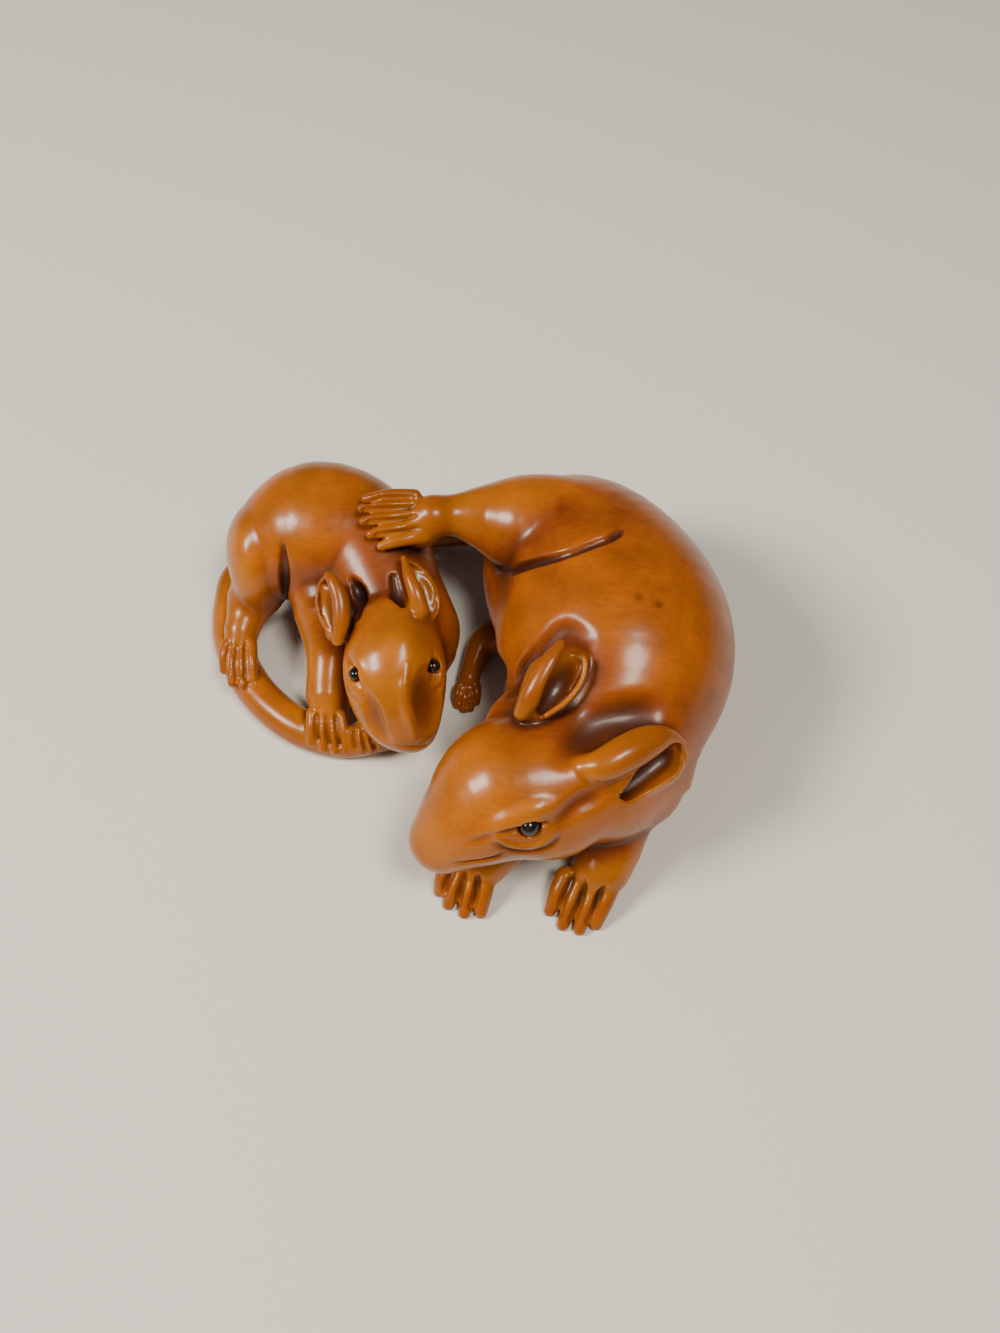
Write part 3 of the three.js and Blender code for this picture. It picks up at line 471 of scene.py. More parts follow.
# Fine cuts, in the same way
FINE_CUTS = [
    # Under the grown rat's brow, its mouth and its nostril
    {
        "path": [[3.9, -37.7, 27.4], [7.2, -37.6, 29.2], [9.9, -37.3, 31.2]],
        "width": 0.9,
        "depth": 0.28,
        "blend": FINE_BLEND,
    },
    {
        "path": [[1.2, -39.2, 21.9], [5.2, -39.2, 22.9], [8.8, -38.9, 24.0], [10.9, -38.4, 26.0]],
        "width": 0.6,
        "depth": 0.4,
        "blend": FINE_BLEND,
    },
    {
        "path": [[-4.0, -37.4, 22.9], [-2.6, -38.2, 21.5]],
        "width": 0.6,
        "depth": 0.3,
        "blend": FINE_BLEND,
    },
    # The valley behind its cheek
    {
        "path": [[19.0, -35.2, 31.0], [21.6, -33.4, 32.7], [23.9, -32.2, 33.1], [25.6, -31.6, 32.8]],
        "width": 2.2,
        "depth": 0.5,
        "blend": 1.4,
    },
    # Knife cuts beside and above its right ear
    {
        "path": [[10.6, -9.0, 26.6], [12.6, -6.8, 30.4], [15.0, -4.9, 34.6]],
        "width": 1.5,
        "depth": 0.4,
        "blend": FINE_BLEND,
    },
    {
        "path": [[12.2, -12.0, 30.6], [14.0, -9.0, 34.6], [16.4, -6.4, 37.0]],
        "width": 1.3,
        "depth": 0.45,
        "blend": FINE_BLEND,
    },
    {
        "path": [[18.0, -4.1, 36.8], [20.3, -3.9, 39.8], [23.3, -6.0, 40.6]],
        "width": 2.4,
        "depth": 0.5,
        "blend": 1.6,
    },
    # The two sides of the young rat's snout, its mouth and its nostrils
    {
        "path": [[-3.7, -5.0, 27.0], [-3.8, -7.6, 25.2], [-3.2, -10.2, 21.8], [-2.9, -12.2, 17.9]],
        "width": 4.6,
        "depth": 1.1,
        "blend": FINE_BLEND,
    },
    {
        "path": [[-15.2, -8.6, 26.4], [-13.8, -11.0, 23.9], [-12.9, -12.9, 20.6], [-11.0, -14.2, 17.7]],
        "width": 2.6,
        "depth": 0.6,
        "blend": FINE_BLEND,
    },
    {
        "path": [[-9.2, -14.5, 17.2], [-6.7, -14.6, 15.9], [-3.9, -12.9, 14.6]],
        "width": 0.5,
        "depth": 0.3,
        "blend": FINE_BLEND,
    },
    {
        "path": [[-5.4, -14.3, 17.4], [-4.4, -13.2, 16.8]],
        "width": 0.5,
        "depth": 0.25,
        "blend": FINE_BLEND,
    },
]

# Fine ridges, with their width and rise in millimetres
FINE_RIDGES = [
    # The ridge along the young rat's snout
    {
        "path": [
            [-7.3, -5.0, 30.0], [-7.8, -8.6, 27.8], [-7.5, -10.7, 25.4], [-6.7, -12.4, 22.3],
            [-5.8, -13.8, 18.0],
        ],
        "width": 1.2,
        "rise": 0.34,
    },
    # Its right brow
    {
        "path": [[-18.4, -0.3, 27.2], [-16.4, -3.7, 28.8], [-14.6, -7.1, 28.0]],
        "width": 1.2,
        "rise": 0.15,
    },
]

# Two small dark specks in the wood of the grown rat's back
SPECKS = [[32.6, 1.0, 43.5], [36.0, -0.3, 42.7]]


def scaled(rows):
    """Shares as millimetres: each value times SHARE."""
    return np.asarray(rows, float) * SHARE


def smooth_least(a, b, blend):
    """The smaller of a and b less blend / 6 * (overlap / blend)^3, where overlap = blend - |a - b|."""
    if blend <= 0:
        return np.minimum(a, b)
    overlap = np.maximum(blend - np.abs(a - b), 0) / blend
    return np.minimum(a, b) - overlap**3 * (blend / 6)


def smooth_rows(rows, steps):
    """A Catmull-Rom curve: b + t (c - a) / 2 + t^2 (2a - 5b + 4c - d) / 2 + t^3 (3b - 3c + d - a) / 2."""
    ends = [2 * rows[0] - rows[1], *rows, 2 * rows[-1] - rows[-2]]
    a, b, c, d = (np.array(ends[n : len(ends) - 3 + n])[:, None, :] for n in range(4))
    t = (np.arange(steps) / steps)[None, :, None]
    curve = b + 0.5 * t * (c - a + t * (2 * a - 5 * b + 4 * c - d + t * (3 * (b - c) + d - a)))
    return np.vstack([curve.reshape(-1, rows.shape[1]), rows[-1]])


def link_distance(start, end):
    """The distance from a link: |p - (start + t along)| - (r + t swell), t in 0..1 where p is nearest."""
    along = end[:3] - start[:3]
    square = float(along @ along) + LEAST
    swell = end[3] - start[3]

    def distance(x, y, z):
        x, y, z = x - start[0], y - start[1], z - start[2]
        t = np.clip((x * along[0] + y * along[1] + z * along[2]) / square, 0, 1)
        aside = (x - t * along[0]) ** 2 + (y - t * along[1]) ** 2 + (z - t * along[2]) ** 2
        return np.sqrt(aside) - start[3] - t * swell

    return distance


def limb(stations, steps=5):
    """A round limb: a smooth path in short links, each with its low corner, high corner and distance."""
    rows = smooth_rows(stations, steps) if len(stations) > 2 else stations
    links = []
    for start, end in zip(rows[:-1], rows[1:]):
        low = np.minimum(start[:3] - start[3], end[:3] - end[3])
        high = np.maximum(start[:3] + start[3], end[:3] + end[3])
        links.append((low, high, link_distance(start, end)))
    return links


def egg(centre, radii):
    """An egg: with q = place from the centre / radii, the distance is |q| (|q| - 1) / |q / radii|."""
    centre = np.asarray(centre)
    radii = np.asarray(radii)

    def distance(x, y, z):
        shares = [(place - middle) / radius for place, middle, radius in zip((x, y, z), centre, radii)]
        size = np.sqrt(sum(share**2 for share in shares))
        steepness = np.sqrt(sum((share / radius) ** 2 for share, radius in zip(shares, radii)))
        return size * (size - 1) / (steepness + LEAST)

    return [(centre - radii, centre + radii, distance)]


class Block:
    """The block of wood on its grid: axes hold the grid's x, y and z, and depth the distances."""

    def __init__(self, low, high, step):
        self.step = step
        self.low = np.asarray(low, float)
        count = np.ceil((np.asarray(high) - self.low) / step).astype(int) + 1
        self.axes = [(self.low[n] + step * np.arange(count[n])).astype(np.float32) for n in range(3)]
        self.depth = np.full(count, FAR, np.float32)

    def window(self, low, high, reach):
        """The part of the grid between two corners and a reach more: its slices and its x, y and z."""
        first = np.maximum(0, np.floor((low - reach - self.low) / self.step)).astype(int)
        last = np.ceil((high + reach - self.low) / self.step).astype(int) + 1
        place = tuple(slice(a, max(a, b)) for a, b in zip(first, last))
        x, y, z = (axis[part] for axis, part in zip(self.axes, place))
        return place, (x[:, None, None], y[None, :, None], z[None, None, :])

    def shape_depth(self, shape, reach):
        """A shape's distance on the grid points near it, least over its links."""
        low = np.min([link[0] for link in shape], axis=0)
        high = np.max([link[1] for link in shape], axis=0)
        place, _ = self.window(low, high, reach)
        depth = np.full(self.depth[place].shape, FAR, np.float32)
        for link_low, link_high, distance in shape:
            near, near_grid = self.window(link_low, link_high, reach)
            spans = [(n.start - p.start, n.stop - p.start) for n, p in zip(near, place)]
            inner = tuple(slice(max(0, first), max(0, last)) for first, last in spans)
            part = distance(*near_grid).astype(np.float32)
            cut_to = tuple(slice(0, size) for size in depth[inner].shape)
            depth[inner] = np.minimum(depth[inner], part[cut_to])
        return place, depth

    def join(self, shape, blend=0.0):
        """Adds a shape: the smooth least of the two distances."""
        place, added = self.shape_depth(shape, blend * SHARE + MARGIN_STEPS * self.step)
        self.depth[place] = smooth_least(self.depth[place], added, blend * SHARE)

    def cut(self, shape, blend=0.0):
        """Takes a shape away: the smooth least of the turned distance and the shape's, turned back."""
        place, taken = self.shape_depth(shape, blend * SHARE + MARGIN_STEPS * self.step)
        self.depth[place] = -smooth_least(-self.depth[place], taken, blend * SHARE)

    def at(self, points, values=None):
        """The value at any points, mixed from the eight grid points round each."""
        values = self.depth if values is None else values
        place = (np.asarray(points, float) - self.low) / self.step
        cell = np.clip(np.floor(place).astype(int), 0, np.array(values.shape) - 2)
        u, v, w = np.clip(place - cell, 0, 1).T
        total = np.zeros(len(place))
        for i, a in ((0, 1 - u), (1, u)):
            for j, b in ((0, 1 - v), (1, v)):
                for k, c in ((0, 1 - w), (1, w)):
                    total += a * b * c * values[cell[:, 0] + i, cell[:, 1] + j, cell[:, 2] + k]
        return total

    def outward(self, points):
        """The direction straight out of the surface: the slope of the distance, one step each way."""
        shifts = np.eye(3) * self.step
        slope = np.array([self.at(points + shift) - self.at(points - shift) for shift in shifts]).T
        return slope / np.maximum(np.linalg.norm(slope, axis=1, keepdims=True), LEAST)

    def settle(self, points):
        """Moves points in or out by their distance, round by round, until they lie on the surface."""
        for _ in range(SETTLE_ROUNDS):
            points = points - self.outward(points) * self.at(points)[:, None]
        return points


def tube(places, radii):
    """A limb through places, with one radius for all of them or one for each."""
    return limb(np.column_stack([places, np.broadcast_to(radii, len(places))]))


def carve_toe_groove(block, root, tip, radius):
    """A groove laid on the surface from between two knuckles to between two tips."""
    along = np.linspace(0, GROOVE_REACH, GROOVE_PLACES)[:, None]
    path = root + (tip - root) * along + [0, 0, radius]
    widths = radius * np.interp(along[:, 0], GROOVE_STAGES, GROOVE_SHARES)
    block.cut(limb(np.column_stack([block.settle(path), widths]), 1), FINE_BLEND)


def carve_foot(block, foot, toe_diameter):
    """A palm from the ankle to the knuckles, a toe from each place on the knuckle line to its tip,
    and a groove between neighbouring toes."""
    ankle = scaled(foot["ankle"])
    tips = scaled(foot["tips"])
    first, last = scaled(foot["knuckles"])
    radius = toe_diameter / 2
    palm = foot["palm"] * SHARE
    heart = (first + last) / 2 - [0, 0, palm / 2]
    block.join(limb(np.array([ankle, [*heart, palm]])), FIRM_BLEND)
    for i, tip in enumerate(tips):
        root = first + (last - first) * i / (len(tips) - 1)
        middle = (root + tip) / 2 + [0, 0, KNUCKLE_RISE * SHARE]
        block.join(tube([root, middle, tip], [radius * ROOT_SWELL, radius, radius * TIP_SHARE]), TOE_BLEND)
    for i in range(len(tips) - 1):
        root = first + (last - first) * (i + 0.5) / (len(tips) - 1)
        carve_toe_groove(block, root, (tips[i] + tips[i + 1]) / 2, radius)


def carve_ear(block, ear, rim_diameter):
    """An ear: a thick back roll on a fleshy root, a hollow cut beside it, and a thin rim round that."""
    block.join(limb(scaled(ear["body"])), EAR_BLEND)
    block.join(limb(scaled(ear["roll"])), EAR_BLEND)
    block.cut(limb(scaled(ear["hollow"])), TOE_BLEND)
    block.join(tube(scaled(ear["rim"]), rim_diameter / 2), TOE_BLEND)


def laid_path(block, path, radius, rise=0.0):
    """A tube laid on the carved surface and moved out of it by a rise, half as thick at its ends."""
    places = block.settle(scaled(path))
    places = places + block.outward(places) * rise
    radii = np.full(len(places), radius)
    radii[[0, -1]] /= 2
    return tube(places, radii)


def carve_groove(block, path, width):
    """A round groove along a path, half as deep as it is wide."""
    block.cut(laid_path(block, path, width / 2), TOE_BLEND)


def carve_ridge(block, path, width, rise, blend):
    """A round ridge along a path, sunk so that it stands out of the surface by its rise."""
    block.join(laid_path(block, path, width / 2, rise - width / 2), blend)


def carve_shallow(block, cut):
    """A shallow gouge cut. Its round blade has the radius (width^2 / 4 + depth^2) / (2 depth)."""
    radius = (cut["width"] ** 2 / 4 + cut["depth"] ** 2) / (2 * cut["depth"])
    places = block.settle(scaled(cut["path"]))
    lift = np.full(len(places), radius - cut["depth"])
    lift[[0, -1]] += cut["depth"] * END_LIFT
    places = places + block.outward(places) * lift[:, None]
    block.cut(tube(places, radius), cut["blend"])


def fit_eye(block, eye, diameter):
    """Lids round an almond-shaped opening with a socket in it, and the centre of the eye that fills it."""
    seat = block.settle(scaled([eye["place"]]))
    out = block.outward(seat)[0]
    width = LID_WIDTH * diameter
    rise = LID_RISE * diameter
    carve_ridge(block, eye["lower_lid"], width, rise, LID_BLEND)
    carve_shallow(block, {"path": eye["lid_groove"], "width": width, "depth": rise, "blend": FINE_BLEND})
    block.cut(laid_path(block, eye["opening"], OPENING_WIDTH * diameter / 2), OPENING_BLEND)
    centre = seat[0] - out * diameter * EYE_SINK
    block.cut(egg(centre, np.full(3, diameter / 2 + EYE_CLEARANCE)))
    return centre


def carve_grown_rat(block):
    """The grown rat's body, head and legs, joined one after another, with its flank and armpit cut."""
    block.join(limb(scaled(GROWN["trunk"])))
    block.cut(egg(scaled(GROWN["flank"]["centre"]), scaled(GROWN["flank"]["radii"])), FLANK_BLEND)
    block.join(limb(scaled(GROWN["head"])), LIMB_BLEND)
    block.join(egg(scaled(GROWN["cheek"]["centre"]), scaled(GROWN["cheek"]["radii"])), LIMB_BLEND)
    block.join(limb(scaled(GROWN["neck"])), LIMB_BLEND)
    block.join(limb(scaled(GROWN["right_thigh"])), FIRM_BLEND)
    block.cut(limb(scaled(GROWN["armpit"])), SOFT_BLEND)
    block.join(limb(scaled(GROWN["left_hind_leg"])), LIMB_BLEND)
    block.join(limb(scaled(GROWN["left_foreleg"])), SOFT_BLEND)
    block.join(limb(scaled(GROWN["right_foreleg"])), SOFT_BLEND)
    carve_foot(block, GROWN["left_fore_foot"], GROWN_TOE_DIAMETER)
    carve_foot(block, GROWN["right_fore_foot"], GROWN_TOE_DIAMETER)
    carve_foot(block, GROWN["left_hind_foot"], YOUNG_TOE_DIAMETER)


def carve_tail(block):
    """The tail: full thickness along most of its length, then thinner towards its end."""
    rows = scaled(TAIL)
    radii = np.full(len(rows), TAIL_DIAMETER / 2)
    radii[-2:] *= TAIL_TAPER
    block.join(limb(scaled(TAIL_ROOT)), FIRM_BLEND)
    block.join(tube(rows, radii), FIRM_BLEND)


def carve_young_rat(block):
    """The young rat's body, haunch, legs and feet, and last its head."""
    block.join(limb(scaled(YOUNG["trunk"])), FIRM_BLEND)
    block.join(egg(scaled(YOUNG["haunch"]["centre"]), scaled(YOUNG["haunch"]["radii"])), FIRM_BLEND)
    for leg in ("right_hind_leg", "right_foreleg", "left_foreleg"):
        block.join(limb(scaled(YOUNG[leg])), LIMB_BLEND)
    for foot in ("right_hind_foot", "right_fore_foot", "left_fore_foot"):
        carve_foot(block, YOUNG[foot], YOUNG_TOE_DIAMETER)
    block.join(limb(scaled(YOUNG["head"])), FIRM_BLEND)
    block.join(limb(scaled(YOUNG["bridge"])), SOFT_BLEND)


def carve_details(block):
    """The foot on the young rat's back, the ears with their hollows, the creases, and the fine cuts."""
    carve_foot(block, GROWN["right_hind_foot"], YOUNG_TOE_DIAMETER)
    for hollow in WIDE_HOLLOWS:
        carve_shallow(block, hollow)
    carve_groove(block, YOUNG["right_ear_hollow"], RIGHT_RECESS_WIDTH)
    carve_groove(block, YOUNG["left_ear_hollow"], LEFT_RECESS_WIDTH)
    for rat, rim_diameter in ((GROWN, GROWN_EAR_RIM), (YOUNG, YOUNG_EAR_RIM)):
        carve_ear(block, rat["right_ear"], rim_diameter)
        carve_ear(block, rat["left_ear"], rim_diameter)
    carve_groove(block, GROWN["thigh_crease"], THIGH_CREASE_WIDTH)
    carve_groove(block, YOUNG["haunch_crease"], HAUNCH_CREASE_WIDTH)
    carve_ridge(block, GROWN["brow"], BROW_WIDTH, BROW_RISE, BROW_BLEND)
    for cut in FINE_CUTS:
        carve_shallow(block, cut)
    for ridge in FINE_RIDGES:
        carve_ridge(block, ridge["path"], ridge["width"], ridge["rise"], RIDGE_BLEND)


def wood_near(block, points, reach):
    """How deep in a hollow each point lies: the share of wood within a reach of it, less the half that
    flat wood has. The share is a running mean over an odd number of steps, three times on each axis."""
    half = round(reach / 2 / block.step)
    span = 2 * half + 1
    values = (block.depth < 0).astype(np.float32)
    for axis in np.repeat(range(3), MEAN_ROUNDS):
        pad = [(0, 0)] * 3
        pad[axis] = (half + 1, half)
        total = np.cumsum(np.pad(values, pad, mode="edge"), axis=axis, dtype=np.float64)
        front = np.take(total, range(span, total.shape[axis]), axis=axis)
        back = np.take(total, range(0, total.shape[axis] - span), axis=axis)
        values = ((front - back) / span).astype(np.float32)
    return block.at(points, values) - 0.5


def cell_points(block, cells):
    """One point in each cell: the mean of the places where the surface crosses the cell's edges, each
    at start + t (end - start) with t = a / (a - b) for the distances a and b at the edge's ends."""
    total = np.zeros((len(cells), 3))
    crossings = np.zeros(len(cells))
    for axis in range(3):
        step = np.eye(3, dtype=int)[axis]
        for corner in CORNERS[CORNERS[:, axis] == 0]:
            start = cells + corner
            a = block.depth[tuple(start.T)]
            b = block.depth[tuple((start + step).T)]
            crosses = (a < 0) != (b < 0)
            t = np.where(crosses, a / np.where(crosses, a - b, 1), 0)
            total += np.where(crosses[:, None], start + t[:, None] * step, 0)
            crossings += crosses
    return block.low + block.step * total / crossings[:, None]


def cell_quads(inside, number):
    """One quad round each grid edge with one end in the wood: the points of the four cells round it."""
    quads = []
    for axis in range(3):
        u, v = (np.eye(3, dtype=int)[(axis + n) % 3] for n in (1, 2))
        here = [slice(0, size - 1 if n == axis else size) for n, size in enumerate(inside.shape)]
        ahead = [slice(1 if n == axis else 0, size) for n, size in enumerate(inside.shape)]
        a = inside[tuple(here)]
        b = inside[tuple(ahead)]
        for leaving, turn in ((a & ~b, 1), (~a & b, -1)):
            edge = np.argwhere(leaving)
            ring = [edge, edge - u, edge - u - v, edge - v][::turn]
            quads.append(np.column_stack([number[tuple(r.T)] for r in ring]))
    return np.vstack(quads)


def surface(block):
    """The surface where the distance is zero, as points and quads."""
    inside = block.depth < 0
    size = np.array(inside.shape) - 1
    full = np.zeros(size, np.int8)
    for corner in CORNERS:
        full += inside[tuple(slice(o, o + s) for o, s in zip(corner, size))]
    cells = np.argwhere((full > 0) & (full < len(CORNERS)))
    number = np.full(size, -1, np.int64)
    number[tuple(cells.T)] = np.arange(len(cells))
    return cell_points(block, cells), cell_quads(inside, number)


def relaxed(block, points, quads):
    """Evens the points out: each moves halfway to the mean of its neighbours, then back to the surface."""
    starts = quads.ravel()
    ends = np.roll(quads, -1, axis=1).ravel()
    count = np.bincount(starts, minlength=len(points)) + np.bincount(ends, minlength=len(points))
    for _ in range(RELAX_ROUNDS):
        total = np.zeros_like(points)
        for n in range(3):
            total[:, n] += np.bincount(starts, points[ends, n], len(points))
            total[:, n] += np.bincount(ends, points[starts, n], len(points))
        points = (points + total / count[:, None]) / 2
        push = np.clip(block.at(points), -block.step / 2, block.step / 2)
        points = points - block.outward(points) * push[:, None]
    return points


block_low = scaled(BLOCK_LOW)
block_low[2] = SOLE_CUT - MARGIN_STEPS * GRID_STEP
block = Block(block_low, scaled(BLOCK_HIGH), GRID_STEP)
carve_grown_rat(block)
carve_tail(block)
carve_young_rat(block)
carve_details(block)
eyes = {}
for age, rat, diameter in (("grown", GROWN, GROWN_EYE_DIAMETER), ("young", YOUNG, YOUNG_EYE_DIAMETER)):
    for side in ("left", "right"):
        eyes[f"{age}_rat_{side}_eye"] = (fit_eye(block, rat[side + "_eye"], diameter), diameter)
block.depth = np.maximum(block.depth, SOLE_CUT - block.axes[2][None, None, :])
points, quads = surface(block)
points = relaxed(block, points, quads)
points[:, 2] = np.maximum(points[:, 2], SOLE_CUT)

# What the colour follows: how deep each point lies in a narrow hollow, where the stain gathers, and in a
# wide hollow, which sets the painted shade in hollows, the lighter crests and the darker slender parts; and
# the dark specks
speck_distance = np.linalg.norm(points[:, None, :] - block.settle(scaled(SPECKS))[None, :, :], axis=2)
shades = {
    "crevice": wood_near(block, points, CREVICE_REACH),
    "shelter": wood_near(block, points, SHELTER_REACH),
    "speck": np.clip(SPECK_EDGE - speck_distance.min(axis=1) / SPECK_SIZE, 0, 1),
}

# The carving takes up exactly the box of the solid that it stands for.
low, high = (np.array(corner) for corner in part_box("boxwood_carving"))
fine_low, fine_high = points.min(axis=0), points.max(axis=0)


def in_frame(places):
    """Carving millimetres to metres: (place - fine low) (high - low) / (fine high - fine low) + low."""
    return low + (np.asarray(places) - fine_low) * (high - low) / (fine_high - fine_low)


def new_piece(name, places, faces, smooth=True):
    """An object with its mesh, in the scene, with its place in its mesh."""
    mesh = bpy.data.meshes.new(name)
    mesh.from_pydata(np.asarray(places).tolist(), [], faces)
    mesh.update()
    mesh.polygons.foreach_set("use_smooth", np.full(len(mesh.polygons), smooth))
    piece = bpy.data.objects.new(name, mesh)
    bpy.context.scene.collection.objects.link(piece)
    return piece


def thinned_mesh(piece, most_triangles):
    """The piece's mesh brought down to the most triangles it may have, and kept in its box."""
    thinner = piece.modifiers.new("thinner", "DECIMATE")
    thinner.ratio = min(1.0, most_triangles / (2 * len(piece.data.polygons)))
    mesh = bpy.data.meshes.new_from_object(piece.evaluated_get(bpy.context.evaluated_depsgraph_get()))
    piece.modifiers.clear()
    places = np.empty(3 * len(mesh.vertices), np.float32)
    mesh.vertices.foreach_get("co", places)
    mesh.vertices.foreach_set("co", np.clip(places.reshape(-1, 3), low, high).ravel())
    mesh.update()
    return mesh


carving = new_piece("carved_rats", in_frame(points), quads.tolist())
for name, values in shades.items():
    attribute = carving.data.attributes.new(name, "FLOAT", "POINT")
    attribute.data.foreach_set("value", values.astype(np.float32))
carving.data = thinned_mesh(carving, MOST_TRIANGLES)


def linear(hex_colour):
    """An sRGB hex colour as linear light: c / 12.92 below 0.04045, else ((c + 0.055) / 1.055)^2.4."""
    parts = [int(hex_colour[n : n + 2], 16) / 255 for n in (1, 3, 5)]
    light = [c / 12.92 if c <= 0.04045 else ((c + 0.055) / 1.055) ** 2.4 for c in parts]
    return (*light, 1.0)


def node(tree, kind, settings=None, **links):
    """Adds a node. Settings name its own values, and links name its inputs: a socket is linked and a
    value is set."""
    made = tree.nodes.new(kind)
    for name, value in (settings or {}).items():
        setattr(made, name, value)
    for name, value in links.items():
        key = int(name[1:]) if name[0] == "_" else name.replace("_", " ")
        if isinstance(value, bpy.types.NodeSocket):
            tree.links.new(value, made.inputs[key])
        else:
            made.inputs[key].default_value = value
    return made


def blank_material(name):
    """A material with no nodes yet, and its tree."""
    material = bpy.data.materials.new(name)
    material.use_nodes = True
    material.node_tree.nodes.clear()
    return material, material.node_tree


# Stained and polished boxwood: a dense, even, honey-yellow wood, stained brown and rubbed back. The large
# crests are lighter, partly from wear and partly as a painted highlight, slender parts are darker, wide
# hollows take a painted red-brown shade, and creases keep the dark stain.
HONEY = "#A85206"
AMBER = "#763305"
STAIN = "#2A130C"
# Painted shade: a dark red-brown laid over the wide hollows
HOLLOW_PAINTED_SHADE = "#34140F"
# Partly real wear and partly a painted highlight: the lighter gold on large crests
CREST_WEAR_AND_HIGHLIGHT = "#D8900C"
# A darker brown on slender parts such as the tail and toes
SLENDER_PART_BROWN = "#7A3408"

# Pattern widths in millimetres. Real boxwood's grain and pores are far finer than the render can
# show, so they are drawn as coarse as they need to be seen.
CLOUD_WIDTH = 5.88
GRAIN_WIDTH = 0.385
PORE_WIDTH = 1.11

# The pores' height in metres, and how the grain is stretched and turned
RELIEF_HEIGHT = 0.0001
GRAIN_STRETCH = (0.25, 1.0, 1.6)
GRAIN_TURN = (0.0, 0.1, 0.35)

boxwood, tree = blank_material("stained_boxwood")
place = node(tree, "ShaderNodeTexCoord").outputs["Object"]
cloud = node(tree, "ShaderNodeTexNoise", Vector=place, Scale=1000 / CLOUD_WIDTH, Detail=3.0, Roughness=0.55)
grain_place = node(tree, "ShaderNodeMapping", Vector=place, Scale=GRAIN_STRETCH, Rotation=GRAIN_TURN)
grain = node(
    tree, "ShaderNodeTexNoise", Vector=grain_place.outputs["Vector"], Scale=1000 / GRAIN_WIDTH, Detail=4.0
)
pores = node(tree, "ShaderNodeTexNoise", Vector=place, Scale=1000 / PORE_WIDTH, Detail=5.0)
depth_in = {}
for name in shades:
    depth_in[name] = node(tree, "ShaderNodeAttribute", {"attribute_name": name}).outputs["Fac"]

# Each layer of colour lies over those before it. Its amount follows a value from one limit to another.
LAYERS = [
    (HONEY, cloud.outputs["Fac"], 0.3, 0.7, 1.0),
    (STAIN, grain.outputs["Fac"], 0.35, 0.75, 0.25),
    # Large crests lighter: partly real wear, partly a painted highlight
    (CREST_WEAR_AND_HIGHLIGHT, depth_in["shelter"], -0.02, -0.16, 0.22),
    # Slender parts darker
    (SLENDER_PART_BROWN, depth_in["shelter"], -0.15, -0.3, 0.55),
    # Painted shade: the wide hollows darkened to red-brown
    (HOLLOW_PAINTED_SHADE, depth_in["shelter"], -0.07, 0.16, 0.9),
    (STAIN, depth_in["crevice"], 0.0, 0.14, 0.85),
    (STAIN, depth_in["speck"], 0.0, 1.0, 0.6),
]
colour = linear(AMBER)
for tint, value, start, full, most in LAYERS:
    amount = node(tree, "ShaderNodeMapRange", Value=value, From_Min=start, From_Max=full, To_Max=most)
    amount = amount.outputs["Result"]
    layer = node(tree, "ShaderNodeMix", {"data_type": "RGBA"}, Factor=amount, _6=colour, _7=linear(tint))
    colour = layer.outputs[2]

# The polish is duller in the hollows, where no cloth reaches.
gloss = node(
    tree,
    "ShaderNodeMapRange",
    Value=depth_in["shelter"],
    From_Min=-0.07,
    From_Max=0.16,
    To_Min=0.28,
    To_Max=0.442,
)
relief = node(tree, "ShaderNodeBump", Height=pores.outputs["Fac"], Strength=0.12, Distance=RELIEF_HEIGHT)
shader = node(
    tree,
    "ShaderNodeBsdfPrincipled",
    Base_Color=colour,
    Roughness=gloss.outputs["Result"],
    Normal=relief.outputs["Normal"],
    IOR=1.42,
    Specular_IOR_Level=0.4,
    Coat_Weight=0.12,
    Coat_Roughness=0.13,
)
node(tree, "ShaderNodeOutputMaterial", Surface=shader.outputs["BSDF"])
carving.data.materials.append(boxwood)
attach(carving, "root")
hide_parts("boxwood_carving")


# The eyes
# Four small beads of dark buffalo horn, turned round, polished, and glued into their sockets.

EYE_ROWS = 24
EYE_COLUMNS = 32
HORN = "#140D0A"
HORN_STREAK = "#3A2416"
STREAK_WIDTH = 0.556

# Polished buffalo horn: nearly black with faint brown streaks, and glossy enough for a sharp light.
horn, tree = blank_material("polished_buffalo_horn")
place = node(tree, "ShaderNodeTexCoord").outputs["Object"]
streak = node(tree, "ShaderNodeTexNoise", Vector=place, Scale=1000 / STREAK_WIDTH, Detail=2.0)
streak_amount = node(tree, "ShaderNodeMapRange", Value=streak.outputs["Fac"], From_Min=0.5, From_Max=0.8)
horn_colour = node(
    tree,
    "ShaderNodeMix",
    {"data_type": "RGBA"},
    Factor=streak_amount.outputs["Result"],
    _6=linear(HORN),
    _7=linear(HORN_STREAK),
)
shader = node(
    tree, "ShaderNodeBsdfPrincipled", Base_Color=horn_colour.outputs[2], Roughness=0.12, IOR=1.54
)
node(tree, "ShaderNodeOutputMaterial", Surface=shader.outputs["BSDF"])


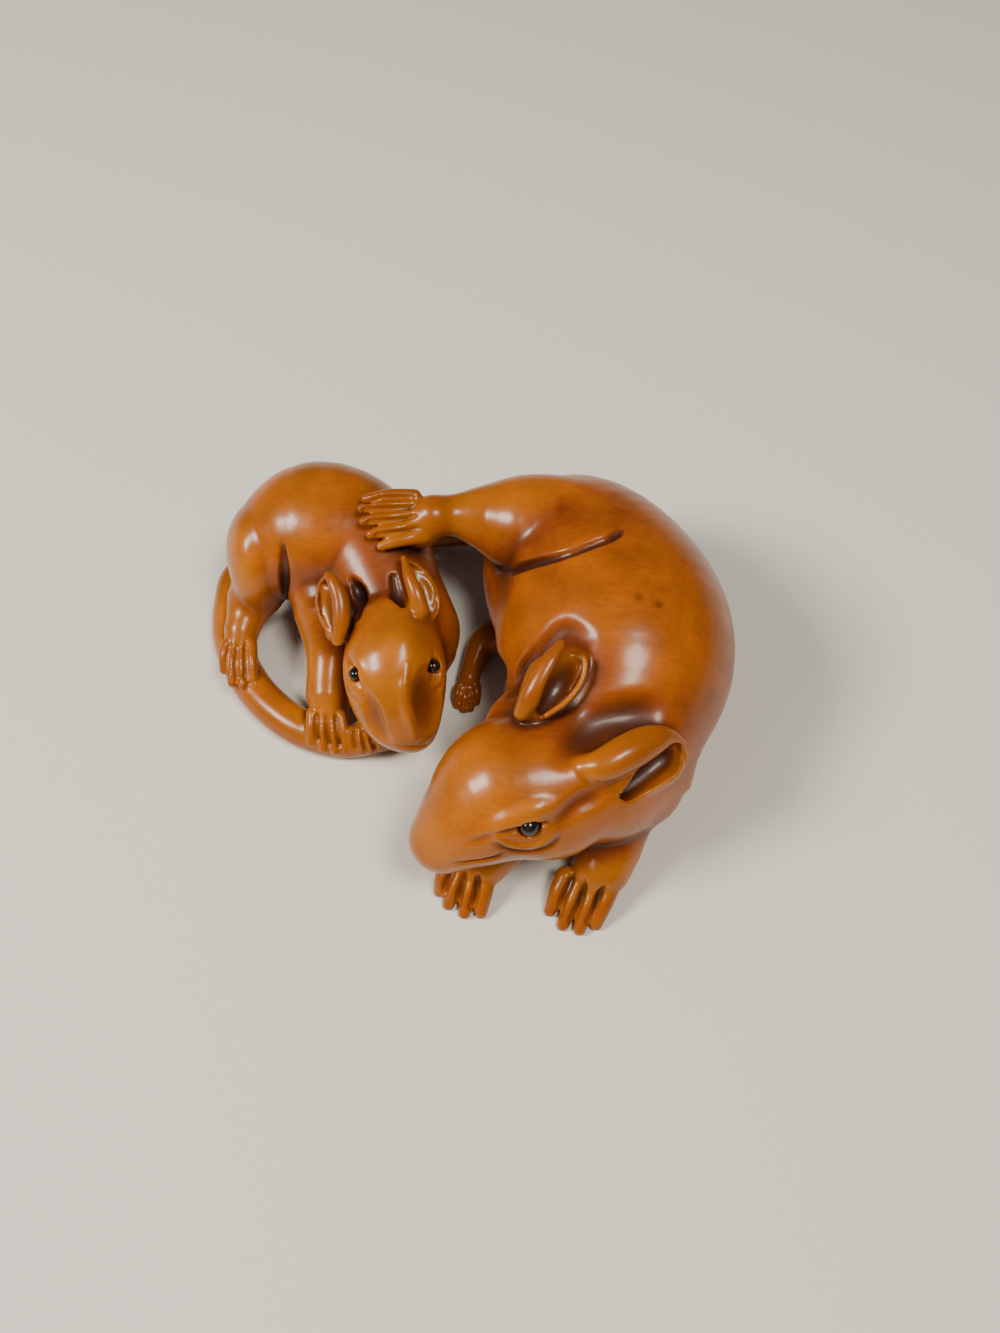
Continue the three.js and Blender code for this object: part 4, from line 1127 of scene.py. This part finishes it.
def bead(centre, radius):
    """A ball: centre + radius (sin a cos b, sin a sin b, cos a), a from pole to pole and b all round."""
    a = np.pi * np.arange(1, EYE_ROWS)[:, None] / EYE_ROWS
    b = 2 * np.pi * np.arange(EYE_COLUMNS)[None, :] / EYE_COLUMNS
    round_parts = [np.sin(a) * np.cos(b), np.sin(a) * np.sin(b), np.cos(a) + 0 * b]
    ring = np.stack(round_parts, axis=-1).reshape(-1, 3)
    places = centre + radius * np.vstack([[[0, 0, 1]], ring, [[0, 0, -1]]])
    number = 1 + np.arange((EYE_ROWS - 1) * EYE_COLUMNS).reshape(EYE_ROWS - 1, EYE_COLUMNS)
    beside = np.roll(number, -1, axis=1)
    sides = np.stack([number[:-1], number[1:], beside[1:], beside[:-1]], axis=-1).reshape(-1, 4)
    top = np.column_stack([np.zeros(EYE_COLUMNS, int), number[0], beside[0]])
    bottom = np.column_stack([beside[-1], number[-1], np.full(EYE_COLUMNS, len(places) - 1)])
    return places, sides.tolist() + top.tolist() + bottom.tolist()


for eye_name, (centre, diameter) in eyes.items():
    eye = new_piece(eye_name + "_bead", *bead(in_frame(centre), diameter / 2000))
    eye.data.materials.append(horn)
    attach(eye, "root")
    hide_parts(eye_name)


# The floor
# A plain pale sheet of matt paper that the carving stands on.

FLOOR_SIDE = 3.0
FLOOR_DROP = 5e-5
FLOOR_COLOUR = "#D8D5CF"

floor_corners = np.array([(-1, -1, 0), (1, -1, 0), (1, 1, 0), (-1, 1, 0)]) * FLOOR_SIDE / 2
floor = new_piece("floor", floor_corners - [0, 0, FLOOR_DROP], [(0, 1, 2, 3)], smooth=False)
paper, tree = blank_material("matt_paper")
shader = node(tree, "ShaderNodeBsdfPrincipled", Base_Color=linear(FLOOR_COLOUR), Roughness=0.9)
node(tree, "ShaderNodeOutputMaterial", Surface=shader.outputs["BSDF"])
floor.data.materials.append(paper)


# The light
# Two warm soft lamps, one high on the left and one higher in front on the right, in a dim pale room.
# Places and sizes are in metres.

LAMP_COLOUR = (1.0, 0.93, 0.8)
LAMP_TARGET = (0, 0, 0.01)
ROOM_COLOUR = (0.85, 0.88, 0.92, 1)
ROOM_STRENGTH = 0.13


def lamp(name, place, size, watts):
    """A square soft lamp that looks at the carving."""
    data = bpy.data.lights.new(name, "AREA")
    data.size = size
    data.energy = watts
    data.color = LAMP_COLOUR
    made = bpy.data.objects.new(name, data)
    bpy.context.scene.collection.objects.link(made)
    made.location = place
    made.rotation_mode = "QUATERNION"
    made.rotation_quaternion = (Vector(LAMP_TARGET) - Vector(place)).to_track_quat("-Z", "Y")


lamp("key", (-0.27, -0.08, 0.30), size=0.12, watts=2.0)
lamp("second", (0.11, -0.12, 0.38), size=0.11, watts=1.3)
world = bpy.data.worlds.new("pale_room")
world.use_nodes = True
world.node_tree.nodes["Background"].inputs["Color"].default_value = ROOM_COLOUR
world.node_tree.nodes["Background"].inputs["Strength"].default_value = ROOM_STRENGTH
bpy.context.scene.world = world


# The camera
# It stands close in front of the carving and looks down on it. Its place is in metres, fall and roll
# are in degrees, and FOCAL_SHARE is its lens's length as a part of the picture's long side.

CAMERA_PLACE = (0.00429, -0.06407, 0.1185)
CAMERA_FALL = 59.4
CAMERA_ROLL = 0.84
FOCAL_SHARE = 1250.0 / 1333.0
SENSOR_WIDTH = 36.0
NEAREST_SEEN = 0.005

camera_data = bpy.data.cameras.new("camera")
camera_data.sensor_width = SENSOR_WIDTH
camera_data.lens = SENSOR_WIDTH * FOCAL_SHARE
camera_data.clip_start = NEAREST_SEEN
camera = bpy.data.objects.new("camera", camera_data)
bpy.context.scene.collection.objects.link(camera)
camera.location = CAMERA_PLACE
fall, roll = math.radians(CAMERA_FALL), math.radians(CAMERA_ROLL)
forward = np.array([0.0, math.cos(fall), -math.sin(fall)])
level = np.array([1.0, 0.0, 0.0])
right = math.cos(roll) * level + math.sin(roll) * np.cross(level, forward)
above = np.cross(right, forward)
camera.rotation_mode = "QUATERNION"
camera.rotation_quaternion = Matrix(np.column_stack([right, above, -forward]).tolist()).to_quaternion()
bpy.context.scene.camera = camera
